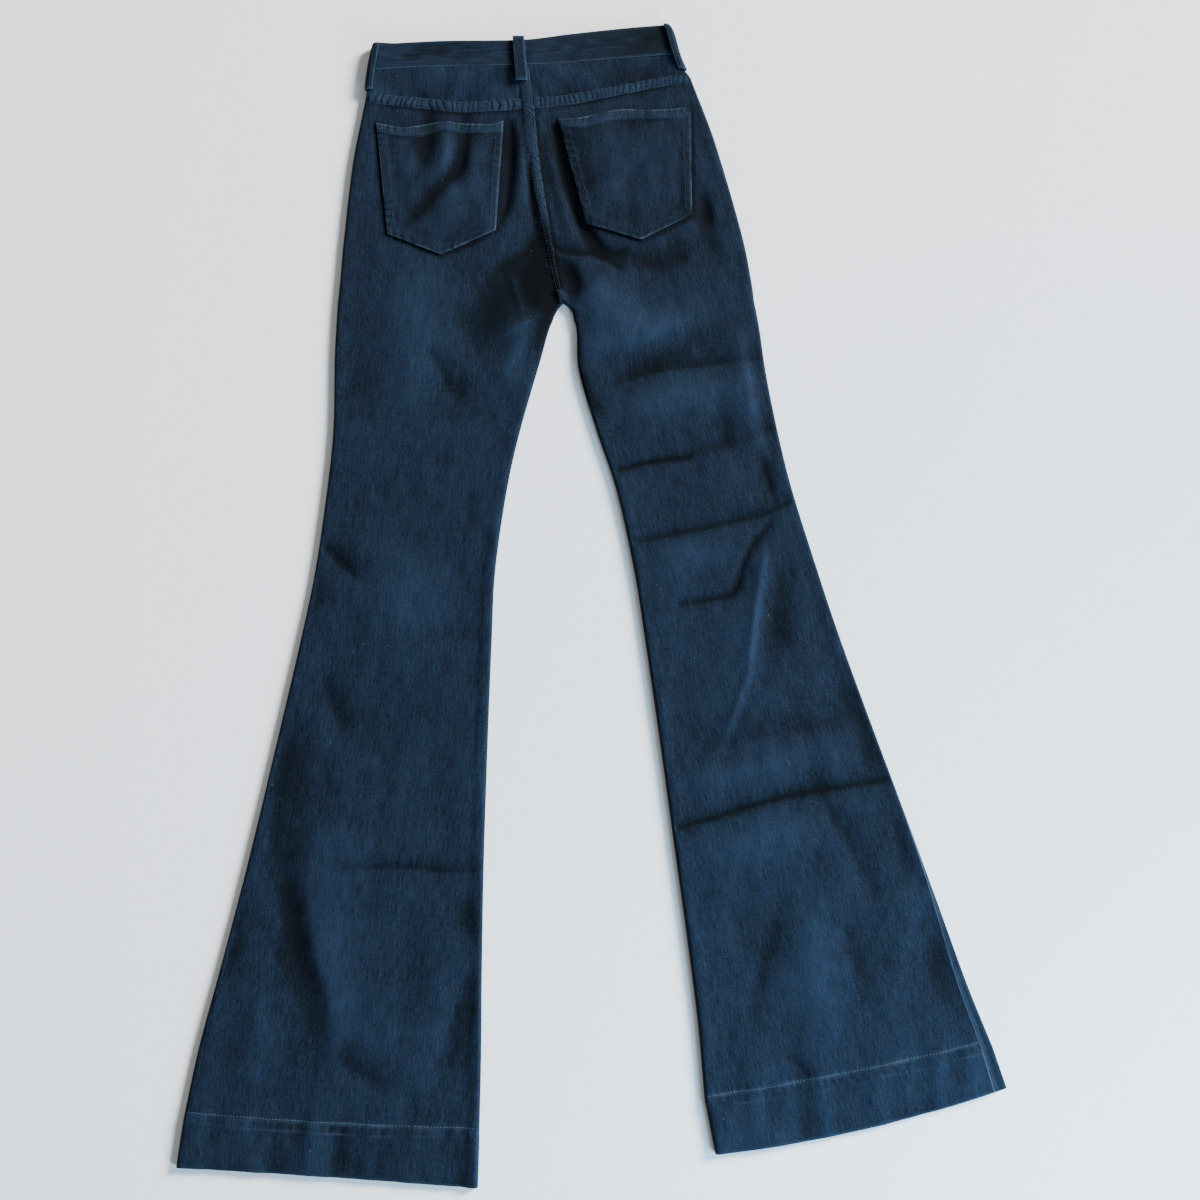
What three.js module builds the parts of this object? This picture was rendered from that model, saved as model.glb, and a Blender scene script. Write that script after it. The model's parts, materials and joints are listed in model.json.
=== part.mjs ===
import * as THREE from 'three';

// Flared jeans lying flat with the back up, in millimetres.
// +Y runs from the hems to the waist, +X to the wearer's right, and +Z up from the surface.
// The front panels lie on the surface, and the back panels lie over them with the seams at the sides.

// Cloth walls and the gaps between pieces
const denim = 1.2;
const bandDenim = 2.4; // folded double
const loopDenim = 2.2; // folded in three
const pocketDenim = 1.3;
const seamGap = 0.3;
const restGap = 0.4; // under a piece that lies on a panel

// Heights of outer faces above the surface
const seatHeight = 6.2;
const bandSideHeight = 8.4;
const bandCentreRise = 2.2; // the back band passes over the lapped ends of the front band
const bandCentreSpread = 75;
const bandStep = 0.6; // the band's face stands above the panel that it is sewn to
const frontBandHeight = 2.5; // the front band lies on its loops and button
const frontFlat = 15; // below the front band the panel stays up over the loops
const frontSlope = 65; // and lies flat from here down
const backSlope = 48; // the back falls from the band to its seat height over this length

// Side creases
const creaseShare = 0.42; // of the height from the front's face to the back's
const foldFade = 14; // folds die out this close to a side crease
const bendFade = 60; // the curve of a top edge dies out this far down a panel

// Waist, fly and hardware
const centreFront = -67;
const bandHeight = 32;
const bandLap = 20; // each end passes the centre front by this much
const bandLapSlope = 28;
const flyBottom = 385;
const flyLap = 6; // the left front passes the centre front, over the right one
const flyUnderlap = 4;
const flySpread = 9;
const crotchRound = 14;
const crotchY = 284;
const buttonRadius = 8.5;
const buttonHeight = 2.2;
const loopWidth = 12;

// Grid counts
const edgeSteps = 3;
const rolledEdgeSteps = 6;
const backMiddleSteps = 11;
const frontMiddleSteps = 4;
const frontRowShare = 0.5;
const yokeRows = 4;

// Sections of each half, from the yoke seam down. The inner edge is the centre-back seam above the
// crotch and the inseam below it. Sag is how far the middle of a section hangs below its ends, roll
// how far the outseam has rolled over onto the back, cloth the wall where it isn't plain denim, as in
// the hem that is turned up, and steps the rows of faces to the next section.
const leftSeat = [
  { at: 'yoke seam', outerX: -235, outerY: 503, innerX: -67, innerY: 497, steps: 4 },
  { at: 'pocket top', outerX: -247, outerY: 435, innerX: -60, innerY: 432, steps: 4 },
  { at: 'pocket foot', outerX: -255, outerY: 352, innerX: -46, innerY: 355, steps: 3 },
  { at: 'above the crotch', outerX: -258, outerY: 308, innerX: -37, innerY: 308, steps: 3 },
  { at: 'crotch', outerX: -260, outerY: 284, innerX: -30, innerY: 284 },
];
const leftLeg = [
  { at: 'crotch', outerX: -260, outerY: 284, innerX: -30, innerY: 284, steps: 2 },
  { at: 'thigh top', outerX: -261, outerY: 260, innerX: -43, innerY: 260, steps: 2 },
  { at: 'thigh', outerX: -262, outerY: 224, innerX: -53, innerY: 224, steps: 4 },
  { at: 'mid thigh', outerX: -262, outerY: 152, innerX: -73, innerY: 152, steps: 4 },
  { at: 'above the knee', outerX: -267, outerY: 91, innerX: -86, innerY: 91, steps: 4 },
  { at: 'knee', outerX: -277, outerY: 10, innerX: -97, innerY: 10, steps: 3 },
  { at: 'below the knee', outerX: -290, outerY: -60, innerX: -100, innerY: -60, steps: 4 },
  { at: 'calf', outerX: -310, outerY: -155, innerX: -103, innerY: -155, steps: 5 },
  { at: 'low calf', outerX: -336, outerY: -275, innerX: -106, innerY: -278, steps: 5 },
  { at: 'flare', outerX: -360, outerY: -376, innerX: -107, innerY: -382, steps: 4 },
  { at: 'above the hem', outerX: -379, outerY: -452, innerX: -107, innerY: -462, sag: 1, steps: 3 },
  { at: 'hem stitching', outerX: -391, outerY: -514, innerX: -108, innerY: -529, sag: 3, steps: 1 },
  { at: 'hem', outerX: -393, outerY: -526, innerX: -108, innerY: -541, sag: 3, cloth: 2.2, steps: 2 },
  { at: 'hem fold', outerX: -398, outerY: -566, innerX: -109, innerY: -585, sag: -1, cloth: 2.2 },
];
const rightSeat = [
  { at: 'yoke seam', outerX: 102, outerY: 523, innerX: -67, innerY: 497, steps: 4 },
  { at: 'pocket top', outerX: 125, outerY: 460, innerX: -60, innerY: 432, steps: 4 },
  { at: 'pocket foot', outerX: 152, outerY: 362, innerX: -46, innerY: 355, steps: 3 },
  { at: 'above the crotch', outerX: 162, outerY: 310, innerX: -37, innerY: 308, steps: 3 },
  { at: 'crotch', outerX: 165, outerY: 286, innerX: -30, innerY: 284 },
];
const rightLeg = [
  { at: 'crotch', outerX: 165, outerY: 286, innerX: -30, innerY: 284, steps: 2 },
  { at: 'thigh top', outerX: 170, outerY: 258, innerX: -17, innerY: 260, steps: 2 },
  { at: 'thigh', outerX: 176, outerY: 212, innerX: -14, innerY: 214, steps: 4 },
  { at: 'mid thigh', outerX: 187, outerY: 152, innerX: 4, innerY: 152, steps: 4 },
  { at: 'above the knee', outerX: 201, outerY: 91, innerX: 24, innerY: 91, steps: 4 },
  { at: 'knee', outerX: 225, outerY: 10, innerX: 42, innerY: 8, steps: 4 },
  { at: 'below the knee', outerX: 247, outerY: -60, innerX: 53, innerY: -64, steps: 5 },
  { at: 'calf', outerX: 280, outerY: -155, innerX: 67, innerY: -163, steps: 6 },
  { at: 'low calf', outerX: 312, outerY: -245, innerX: 80, innerY: -260, roll: 2, steps: 4 },
  { at: 'flare', outerX: 340, outerY: -326, innerX: 92, innerY: -349, roll: 6, steps: 4 },
  { at: 'above the hem', outerX: 363, outerY: -393, innerX: 102, innerY: -430, sag: 2, roll: 10, steps: 3 },
  { at: 'hem stitching', outerX: 384, outerY: -447, innerX: 108, innerY: -500, sag: 4, roll: 12, steps: 1 },
  { at: 'hem', outerX: 388, outerY: -458, innerX: 110, innerY: -512, sag: 5, roll: 13, cloth: 2.2, steps: 2 },
  { at: 'hem fold', outerX: 399, outerY: -492, innerX: 118, innerY: -554, sag: 8, roll: 14, cloth: 2.2 },
];

// The centre seam from the crotch up, the same for the back and the front that lies under it
const centreSeam = [...leftSeat].reverse();

// The seam between the yokes and the legs, from the left side to the right
const yokeSeam = [
  { x: -235, y: 502 },
  { x: -207, y: 498 },
  { x: -160, y: 496 },
  { x: -134, y: 488 },
  { x: -102, y: 496 },
  { x: -67, y: 497 },
  { x: -36, y: 498 },
  { x: 17, y: 508 },
  { x: 70, y: 519 },
  { x: 102, y: 523 },
];

// The back of the waistband: its lower edge, sewn to the yokes, and its top edge
const backBand = [
  { x: -232, seam: 531, top: 560 },
  { x: -190, seam: 534, top: 563 },
  { x: -155, seam: 535, top: 565 },
  { x: -71, seam: 536, top: 566 },
  { x: -22, seam: 539, top: 572 },
  { x: 31, seam: 544, top: 578 },
  { x: 91, seam: 549, top: 583 },
];

// The lower edge of the waistband's front runs straight from each side to the centre, where it dips
const frontBand = { leftX: -232, leftY: 531, centreY: 523, rightX: 91, rightY: 549 };

// Side edges of the yokes and of the band above them
const leftSide = [
  { y: 503, x: -235 },
  { y: 531, x: -231 },
  { y: 563, x: -226 },
];
const rightSide = [
  { y: 523, x: 102 },
  { y: 536, x: 95 },
  { y: 549, x: 90 },
  { y: 584, x: 83 },
];

// The largest folds: a trough below zero or a ridge above it, along a line of places, by half width
const folds = [
  { at: 'seat left of the seam', line: [[-75, 450], [-76, 378]], rise: -1.6, width: 14 },
  { at: 'left pocket', line: [[-128, 458], [-170, 412]], rise: -1.2, width: 18 },
  { at: 'right pocket edge', line: [[-45, 468], [-17, 377]], rise: -1.2, width: 14 },
  { at: 'under the right pocket', line: [[-7, 368], [8, 333]], rise: -2, width: 13 },
  { at: 'across the right thigh top', line: [[-24, 334], [32, 337]], rise: -1.8, width: 12 },
  { at: 'crotch', line: [[-62, 352], [-52, 322], [-36, 304]], rise: -2.2, width: 14 },
  { at: 'right thigh fullness', line: [[0, 300], [20, 270]], rise: 2.6, width: 22 },
  { at: 'left thigh hollow', line: [[-63, 322], [-95, 316], [-119, 245], [-107, 222]], rise: -3, width: 20 },
  { at: 'left thigh fullness', line: [[-150, 300], [-160, 200]], rise: 1.4, width: 34 },
  { at: 'left knee side', line: [[-270, 36], [-238, 3]], rise: -2.2, width: 15 },
  { at: 'left below the knee', line: [[-264, -99], [-246, -145]], rise: -2, width: 15 },
  { at: 'left calf side', line: [[-291, -141], [-309, -208], [-311, -274]], rise: -2.2, width: 18 },
  { at: 'left calf across', line: [[-252, -284], [-191, -283], [-115, -286]], rise: -1.6, width: 16 },
  { at: 'left flare', line: [[-304, -295], [-285, -368], [-260, -418], [-259, -452]], rise: -3, width: 18 },
  { at: 'left flare ridge', line: [[-272, -330], [-248, -392], [-232, -440]], rise: 2.4, width: 17 },
  { at: 'left above the hem', line: [[-247, -461], [-202, -491]], rise: -2, width: 15 },
  { at: 'left flare edge', line: [[-347, -307], [-354, -383]], rise: -1.5, width: 14 },
  { at: 'right thigh ridge', line: [[-12, 233], [86, 263]], rise: 2.2, width: 14 },
  { at: 'right thigh first trough', line: [[21, 200], [107, 217], [176, 226]], rise: -2.6, width: 14 },
  { at: 'right thigh swell', line: [[40, 165], [120, 180]], rise: 1.8, width: 18 },
  { at: 'right thigh crease', line: [[17, 107], [95, 124], [134, 138], [184, 155]], rise: -3, width: 13 },
  { at: 'right knee trough', line: [[40, 38], [119, 53], [174, 66], [200, 80]], rise: -2.2, width: 16 },
  { at: 'right knee back', line: [[85, -25], [140, -13], [155, 29], [177, 58]], rise: -2, width: 14 },
  { at: 'right shin ridge', line: [[167, 20], [157, -34], [153, -95]], rise: 2.4, width: 13 },
  { at: 'right calf trough', line: [[117, -165], [191, -150], [254, -138]], rise: -1.8, width: 14 },
  { at: 'right calf swell', line: [[100, -200], [190, -180]], rise: 1.8, width: 16 },
  { at: 'right calf crease', line: [[80, -246], [167, -221], [296, -198]], rise: -3.2, width: 13 },
  { at: 'right calf lower swell', line: [[110, -275], [220, -250]], rise: 1.8, width: 20 },
  { at: 'right calf side', line: [[250, -109], [277, -141], [278, -186]], rise: -2.6, width: 15 },
  { at: 'right flare first wave', line: [[180, -315], [165, -399]], rise: -1.6, width: 18 },
  { at: 'right flare second wave', line: [[246, -331], [256, -385]], rise: -1.6, width: 17 },
  { at: 'right flare edge wave', line: [[331, -331], [340, -386], [361, -438]], rise: -2, width: 15 },
];

// Corners of the pockets, and how far the mouth dips between its corners
const leftPocket = {
  topOuter: [-223, 474],
  topInner: [-92, 477],
  footInner: [-99, 360],
  tip: [-155, 334],
  footOuter: [-210, 356],
  mouthDip: 3,
};
const rightPocket = {
  topOuter: [101, 491],
  topInner: [-35, 478],
  footInner: [-6, 367],
  tip: [50, 350],
  footOuter: [102, 376],
  mouthDip: -1,
};

// A smooth curve through two columns of a table, read at one place
function follow(table, from, to, place) {
  const last = table.length - 1;
  const low = Math.min(table[0][from], table[last][from]);
  const high = Math.max(table[0][from], table[last][from]);
  const at = THREE.MathUtils.clamp(place, low, high);
  let i = 0;
  while (i < last - 1 && at > table[i + 1][from]) {
    i += 1;
  }
  const slope = (k) => {
    const before = table[Math.max(k - 1, 0)];
    const after = table[Math.min(k + 1, last)];
    return (after[to] - before[to]) / (after[from] - before[from]);
  };
  const span = table[i + 1][from] - table[i][from];
  const t = (at - table[i][from]) / span;
  const ends = table[i][to] * (1 + 2 * t) * (1 - t) ** 2 + table[i + 1][to] * t * t * (3 - 2 * t);
  return ends + span * t * (1 - t) * (slope(i) * (1 - t) - slope(i + 1) * t);
}

// A section between the named ones: the whole part of the place counts rows, the rest is a share
function sectionAt(rows, place) {
  const i = Math.min(Math.floor(place), rows.length - 2);
  const t = place - i;
  const last = rows.length - 1;
  const four = [i - 1, i, i + 1, i + 2].map((k) => rows[THREE.MathUtils.clamp(k, 0, last)]);
  const section = {};
  for (const column of ['outerX', 'outerY', 'innerX', 'innerY', 'sag', 'roll']) {
    const [a, b, c, d] = four.map((row) => row[column] ?? 0);
    const bow = 2 * a - 5 * b + 4 * c - d + t * (3 * (b - c) + d - a);
    section[column] = b + 0.5 * t * (c - a + t * bow);
  }
  const [here, next] = [four[1].cloth ?? denim, four[2].cloth ?? denim];
  section.cloth = here + t * (next - here);
  return section;
}

// All the sections of one table, with their steps thinned by a share
function sectionsDown(rows, share) {
  const list = [];
  rows.slice(0, -1).forEach((row, i) => {
    const count = Math.ceil(row.steps * share);
    for (let k = 0; k < count; k += 1) {
      list.push(sectionAt(rows, i + k / count));
    }
  });
  list.push(sectionAt(rows, rows.length - 1));
  return list;
}

// How far a place is from a line of places
function distanceTo(line, x, y) {
  let nearest = Infinity;
  for (let i = 0; i + 1 < line.length; i += 1) {
    const [ax, ay] = line[i];
    const [bx, by] = line[i + 1];
    const [dx, dy] = [bx - ax, by - ay];
    const t = THREE.MathUtils.clamp(((x - ax) * dx + (y - ay) * dy) / (dx * dx + dy * dy), 0, 1);
    nearest = Math.min(nearest, Math.hypot(x - ax - t * dx, y - ay - t * dy));
  }
  return nearest;
}

function foldRise(x, y) {
  return folds.reduce((sum, fold) => {
    const away = distanceTo(fold.line, x, y) / fold.width;
    return sum + fold.rise * Math.exp(-away * away);
  }, 0);
}

// The outer face of the back of the waistband
function backBandHeight(x) {
  const away = (x - centreFront) / bandCentreSpread;
  return bandSideHeight + bandCentreRise * Math.exp(-away * away);
}

// The lower edges of the band
function backSeam(x) {
  return follow(backBand, 'x', 'seam', x);
}

function frontSeam(x) {
  const { leftX, leftY, centreY, rightX, rightY } = frontBand;
  const toLeft = (x - centreFront) / (leftX - centreFront);
  const toRight = (x - centreFront) / (rightX - centreFront);
  return x < centreFront
    ? THREE.MathUtils.lerp(centreY, leftY, toLeft)
    : THREE.MathUtils.lerp(centreY, rightY, toRight);
}

// How far the right front is lifted over the edge of the left one along the fly
function flyLift(x, y) {
  const past = x - follow(centreSeam, 'innerY', 'innerX', y) - flyLap;
  const across = 1 - THREE.MathUtils.smoothstep(past, 1, flySpread);
  return (denim + seamGap) * across * THREE.MathUtils.smoothstep(y, flyBottom - 50, flyBottom - 24);
}

// The outer face of the front, which lies on the surface but for the lift to its band
function frontHeight(x, y) {
  const below = frontSeam(x) - y;
  return (frontBandHeight + bandStep) * (1 - THREE.MathUtils.smoothstep(below, frontFlat, frontSlope));
}

// The outer face of the back, never lower than the two walls under it need
function backHeight(x, y, cloth, fade) {
  const below = backSeam(x) - y;
  const rise = backBandHeight(x) - bandStep - seatHeight;
  const plain = seatHeight + rise * (1 - THREE.MathUtils.smoothstep(below, 0, backSlope));
  const overFly = x > follow(centreSeam, 'innerY', 'innerX', y) - flyUnderlap - 2;
  const lowest = frontHeight(x, y) + (overFly ? flyLift(x, y) : 0) + 2 * cloth + restGap;
  return Math.max(plain + fade * foldRise(x, y), lowest);
}

// A place on the round of a side crease, by the walk from the crease: over the back where it is above
// zero, under the front where it is below. Inset is how far in from the edge, and turn the angle reached.
function roundCrease(walk, top, crease, under) {
  const radius = walk > 0 ? top - crease : crease - under;
  const turn = Math.min(Math.abs(walk) / radius, Math.PI / 2);
  const past = Math.abs(walk) - turn * radius;
  return { inset: radius * (1 - Math.cos(turn)) + past, turn, over: walk > 0 ? 1 : -1 };
}

// One row of a panel from its outer seam to its inner one. Each place has a point and, close to a
// seam, the direction into the cloth there.
function panelRow(section, panel) {
  const outer = new THREE.Vector2(section.outerX, section.outerY);
  const inner = new THREE.Vector2(section.innerX, section.innerY);
  const length = outer.distanceTo(inner);
  const along = inner.clone().sub(outer).divideScalar(length);
  const over = panel.face === 'back' ? 1 : -1;
  const upright = new THREE.Vector3(0, 0, 1);

  const place = (inset, turn, side) => {
    const t = inset / length;
    const x = outer.x + along.x * inset;
    const straight = outer.y + along.y * inset - section.sag * 4 * t * (1 - t);
    const y = panel.bend(x, straight, section);
    const toInner = section.round > 0 ? length - inset : Infinity;
    const fade = THREE.MathUtils.smoothstep(Math.min(inset, toInner), 0, foldFade);
    const top = backHeight(x, y, section.cloth, fade);
    const under = frontHeight(x, y) + (panel.lifted ? flyLift(x, y) : 0);
    const face = side > 0 ? top : under;
    return new THREE.Vector3(x, y, section.crease + (face - section.crease) * Math.sin(turn));
  };

  const round = (walk) => roundCrease(walk, section.top, section.crease, section.under);
  const outerSeam = section.roll + (over * seamGap) / 2;
  const quarter = (Math.PI / 2) * (over > 0 ? section.top - section.crease : section.crease - section.under);
  const outerEnd = over > 0 ? Math.max(quarter, section.roll + edgeSteps) : -quarter;
  const row = [];
  for (let k = 0; k <= panel.outerSteps; k += 1) {
    const at = round(THREE.MathUtils.lerp(outerSeam, outerEnd, k / panel.outerSteps));
    const inward = new THREE.Vector3(along.x * Math.cos(at.turn), along.y * Math.cos(at.turn), 0);
    inward.addScaledVector(upright, -at.over * Math.sin(at.turn));
    row.push({ point: place(at.inset, at.turn, at.over), inward });
  }

  const innerSide = [];
  for (let k = 0; k <= edgeSteps; k += 1) {
    const walk = THREE.MathUtils.lerp(seamGap / 2, quarter, k / edgeSteps);
    const at = round(over * walk);
    const inset = THREE.MathUtils.lerp(walk - panel.innerLap * (1 - k / edgeSteps), at.inset, section.round);
    const turn = THREE.MathUtils.lerp(Math.PI / 2, at.turn, section.round);
    const inward = new THREE.Vector3(-along.x * Math.cos(turn), -along.y * Math.cos(turn), 0);
    inward.addScaledVector(upright, -over * Math.sin(turn));
    innerSide.unshift({ inset, point: place(length - inset, turn, over), inward });
  }

  const first = outer.distanceTo(new THREE.Vector2(row.at(-1).point.x, row.at(-1).point.y));
  const start = Math.min(first, round(outerEnd).inset);
  const end = length - innerSide[0].inset;
  for (let k = 1; k < panel.middleSteps; k += 1) {
    row.push({ point: place(THREE.MathUtils.lerp(start, end, k / panel.middleSteps), Math.PI / 2, over) });
  }
  return [...row, ...innerSide];
}

// Directions into the cloth where a row gives none, square to the outer face
function fillInward(grid, over) {
  const across = new THREE.Vector3();
  const down = new THREE.Vector3();
  grid.forEach((row, i) => {
    row.forEach((place, j) => {
      if (place.inward) {
        return;
      }
      across.subVectors(row[j + 1].point, row[j - 1].point);
      const above = grid[Math.max(i - 1, 0)][j].point;
      const below = grid[Math.min(i + 1, grid.length - 1)][j].point;
      down.subVectors(below, above);
      const inward = across.clone().cross(down);
      inward.multiplyScalar(inward.z * over > 0 ? -1 : 1);
      if (i === 0 || i === grid.length - 1) {
        inward.y = 0;
      }
      place.inward = inward.normalize();
    });
  });
}

// A closed wall of cloth behind a grid of outer places
function wall(name, grid, thickness, material) {
  const rows = grid.length;
  const columns = grid[0].length;
  const positions = [];
  for (const behind of [0, 1]) {
    for (const row of grid) {
      for (const place of row) {
        const depth = behind * (place.cloth ?? thickness);
        positions.push(...place.point.clone().addScaledVector(place.inward, depth).toArray());
      }
    }
  }
  const at = (side, i, j) => (side * rows + i) * columns + j;
  const faces = [];
  const quad = (a, b, c, d) => faces.push(a, b, c, a, c, d);
  for (let i = 0; i + 1 < rows; i += 1) {
    for (let j = 0; j + 1 < columns; j += 1) {
      quad(at(0, i, j), at(0, i + 1, j), at(0, i + 1, j + 1), at(0, i, j + 1));
      quad(at(1, i, j), at(1, i, j + 1), at(1, i + 1, j + 1), at(1, i + 1, j));
    }
    quad(at(0, i, 0), at(1, i, 0), at(1, i + 1, 0), at(0, i + 1, 0));
    const j = columns - 1;
    quad(at(0, i, j), at(0, i + 1, j), at(1, i + 1, j), at(1, i, j));
  }
  for (let j = 0; j + 1 < columns; j += 1) {
    quad(at(0, 0, j), at(0, 0, j + 1), at(1, 0, j + 1), at(1, 0, j));
    const i = rows - 1;
    quad(at(0, i, j), at(1, i, j), at(1, i, j + 1), at(0, i, j + 1));
  }
  if (enclosed(positions, faces) < 0) {
    faces.reverse();
  }
  const geometry = new THREE.BufferGeometry();
  geometry.setAttribute('position', new THREE.Float32BufferAttribute(positions, 3));
  geometry.setIndex(faces);
  geometry.computeVertexNormals();
  const mesh = new THREE.Mesh(geometry, material);
  mesh.name = name;
  return mesh;
}

// Six times the volume inside the faces, below zero where they point in
function enclosed(positions, faces) {
  const corner = (index) => new THREE.Vector3().fromArray(positions, 3 * index);
  let sum = 0;
  for (let i = 0; i < faces.length; i += 3) {
    sum += corner(faces[i]).dot(corner(faces[i + 1]).cross(corner(faces[i + 2])));
  }
  return sum;
}

// Adds to a section the heights of its outer crease and how round its inner edge is
function dressSection(section) {
  const top = backHeight(section.outerX, section.outerY, section.cloth, 0);
  const under = frontHeight(section.outerX, section.outerY);
  const rise = THREE.MathUtils.clamp((section.innerY - crotchY) / crotchRound, 0, 1);
  const roundness = section.innerY > crotchY ? 1 - Math.sqrt(1 - (1 - rise) ** 2) : 1;
  const crease = under + creaseShare * (top - under);
  return { ...section, roll: Math.max(section.roll, 0), top, under, crease, round: roundness };
}

// The grid of one panel from its sections
function panelGrid(sections, panel) {
  const grid = sections.map((raw) => {
    const section = dressSection(raw);
    return panelRow(section, panel).map((place) => ({ ...place, cloth: section.cloth }));
  });
  fillInward(grid, panel.face === 'back' ? 1 : -1);
  return grid;
}

// Bends the first sections of a panel to the curve of its top edge
function bendTo(edge, shift, first) {
  return (x, y, section) => {
    const t = (x - first.outerX) / (first.innerX - first.outerX);
    const chord = THREE.MathUtils.lerp(first.outerY, first.innerY, t);
    const fade = 1 - THREE.MathUtils.smoothstep(first.outerY - section.outerY, 0, bendFade);
    return y + fade * (edge(x) + shift - chord);
  };
}

function backLeg(name, seat, leg, material) {
  const sections = [...sectionsDown(seat, 1), ...sectionsDown(leg, 1).slice(1)];
  const grid = panelGrid(sections, {
    face: 'back',
    outerSteps: edgeSteps,
    middleSteps: backMiddleSteps,
    innerLap: 0,
    bend: bendTo((x) => follow(yokeSeam, 'x', 'y', x), -seamGap / 2, sections[0]),
  });
  return { grid, mesh: wall(name, grid, denim, material) };
}

// Sections between the band and the yoke seam, from the band down
function waistSections(seat, sideX, top, rows) {
  const seam = seat[0];
  const sections = [];
  for (let k = 0; k <= rows; k += 1) {
    const share = k / rows;
    const outerY = THREE.MathUtils.lerp(top.outerY, seam.outerY, share);
    const innerX = THREE.MathUtils.lerp(top.innerX, seam.innerX, share);
    const innerY = THREE.MathUtils.lerp(top.innerY, seam.innerY, share);
    const outerX = follow(sideX, 'y', 'x', outerY);
    sections.push({ outerX, outerY, innerX, innerY, sag: 0, roll: 0, cloth: denim, share });
  }
  return sections;
}

// The front runs on up to the waistband, and laps at the fly
function frontLeg(name, seat, leg, side, sideX, material) {
  const sideY = side > 0 ? frontBand.rightY : frontBand.leftY;
  const top = { outerY: sideY, innerX: centreFront, innerY: frontBand.centreY };
  const sections = [
    ...waistSections(seat, sideX, top, 4),
    ...sectionsDown(seat, 1).slice(1),
    ...sectionsDown(leg, frontRowShare).slice(1),
  ];
  const lap = side > 0 ? flyUnderlap : flyLap;
  const grid = sections.map((raw) => {
    const section = dressSection(raw);
    const panel = {
      face: 'front',
      outerSteps: side > 0 ? rolledEdgeSteps : edgeSteps,
      middleSteps: frontMiddleSteps,
      innerLap: lap * THREE.MathUtils.smoothstep(section.innerY, flyBottom, flyBottom + 15),
      lifted: side > 0,
      bend: bendTo(frontSeam, -seamGap / 2, sections[0]),
    };
    return panelRow(section, panel).map((place) => ({ ...place, cloth: section.cloth }));
  });
  fillInward(grid, -1);
  return wall(name, grid, denim, material);
}

function yoke(name, seat, side, sideX, material) {
  const sideSeam = backBand.at(side > 0 ? -1 : 0).seam;
  const top = { outerY: sideSeam, innerX: -73, innerY: backSeam(-73) };
  const grid = panelGrid(waistSections(seat, sideX, top, yokeRows), {
    face: 'back',
    outerSteps: edgeSteps,
    middleSteps: backMiddleSteps,
    innerLap: 0,
    bend: (x, y, section) => {
      const high = backSeam(x) - seamGap / 2;
      const low = follow(yokeSeam, 'x', 'y', x) + seamGap / 2;
      return THREE.MathUtils.lerp(high, low, section.share);
    },
  });
  return { grid, mesh: wall(name, grid, denim, material) };
}

// The waistband in one piece: from its left end at the centre front, round the left side, across the
// back, round the right side and back under the lap
function waistband(material) {
  const rows = 3;
  const turnSteps = 5;
  const grid = [];
  for (let r = 0; r <= rows; r += 1) {
    const share = r / rows;
    const sideY = (end) => THREE.MathUtils.lerp(end.seam, end.top, share);
    const leftX = follow(leftSide, 'y', 'x', sideY(backBand[0]));
    const rightX = follow(rightSide, 'y', 'x', sideY(backBand.at(-1)));
    const radius = (bandSideHeight - frontBandHeight) / 2;
    const middle = frontBandHeight + radius;
    const row = [];
    const front = (x, z) => {
      const y = frontSeam(x) + bandHeight * share;
      row.push({ point: new THREE.Vector3(x, y, z), inward: new THREE.Vector3(0, 0, 1) });
    };
    const back = (x) => {
      const y = THREE.MathUtils.lerp(backSeam(x), follow(backBand, 'x', 'top', x), share);
      row.push({ point: new THREE.Vector3(x, y, backBandHeight(x)), inward: new THREE.Vector3(0, 0, -1) });
    };
    const turn = (edge, side) => {
      const top = (x) => follow(backBand, 'x', 'top', x);
      for (let k = 0; k <= turnSteps; k += 1) {
        const part = side > 0 ? 1 - k / turnSteps : k / turnSteps;
        const angle = -Math.PI / 2 + Math.PI * part;
        const [c, s] = [Math.cos(angle), Math.sin(angle)];
        const x = edge + side * radius * (c - 1);
        const backY = THREE.MathUtils.lerp(backSeam(x), top(x), share);
        const y = THREE.MathUtils.lerp(frontSeam(x) + bandHeight * share, backY, part);
        const point = new THREE.Vector3(x, y, middle + radius * s);
        row.push({ point, inward: new THREE.Vector3(-side * c, 0, -s) });
      }
    };
    const spread = (from, to, count, put) => {
      for (let k = 1; k < count; k += 1) {
        put(THREE.MathUtils.lerp(from, to, k / count));
      }
    };
    front(centreFront + bandLap, frontBandHeight);
    spread(centreFront + bandLap, leftX + radius, 8, (x) => front(x, frontBandHeight));
    turn(leftX, -1);
    spread(leftX + radius, rightX - radius, 20, back);
    turn(rightX, 1);
    const lapped = (x) => {
      const start = centreFront + bandLap + 2;
      const up = 1 - THREE.MathUtils.smoothstep(x, start, start + bandLapSlope);
      front(x, frontBandHeight + (bandDenim + seamGap) * up);
    };
    spread(rightX - radius, centreFront - bandLap, 16, lapped);
    lapped(centreFront - bandLap);
    grid.push(row);
  }
  return { grid, mesh: wall('waistband', grid, bandDenim, material) };
}

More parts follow.
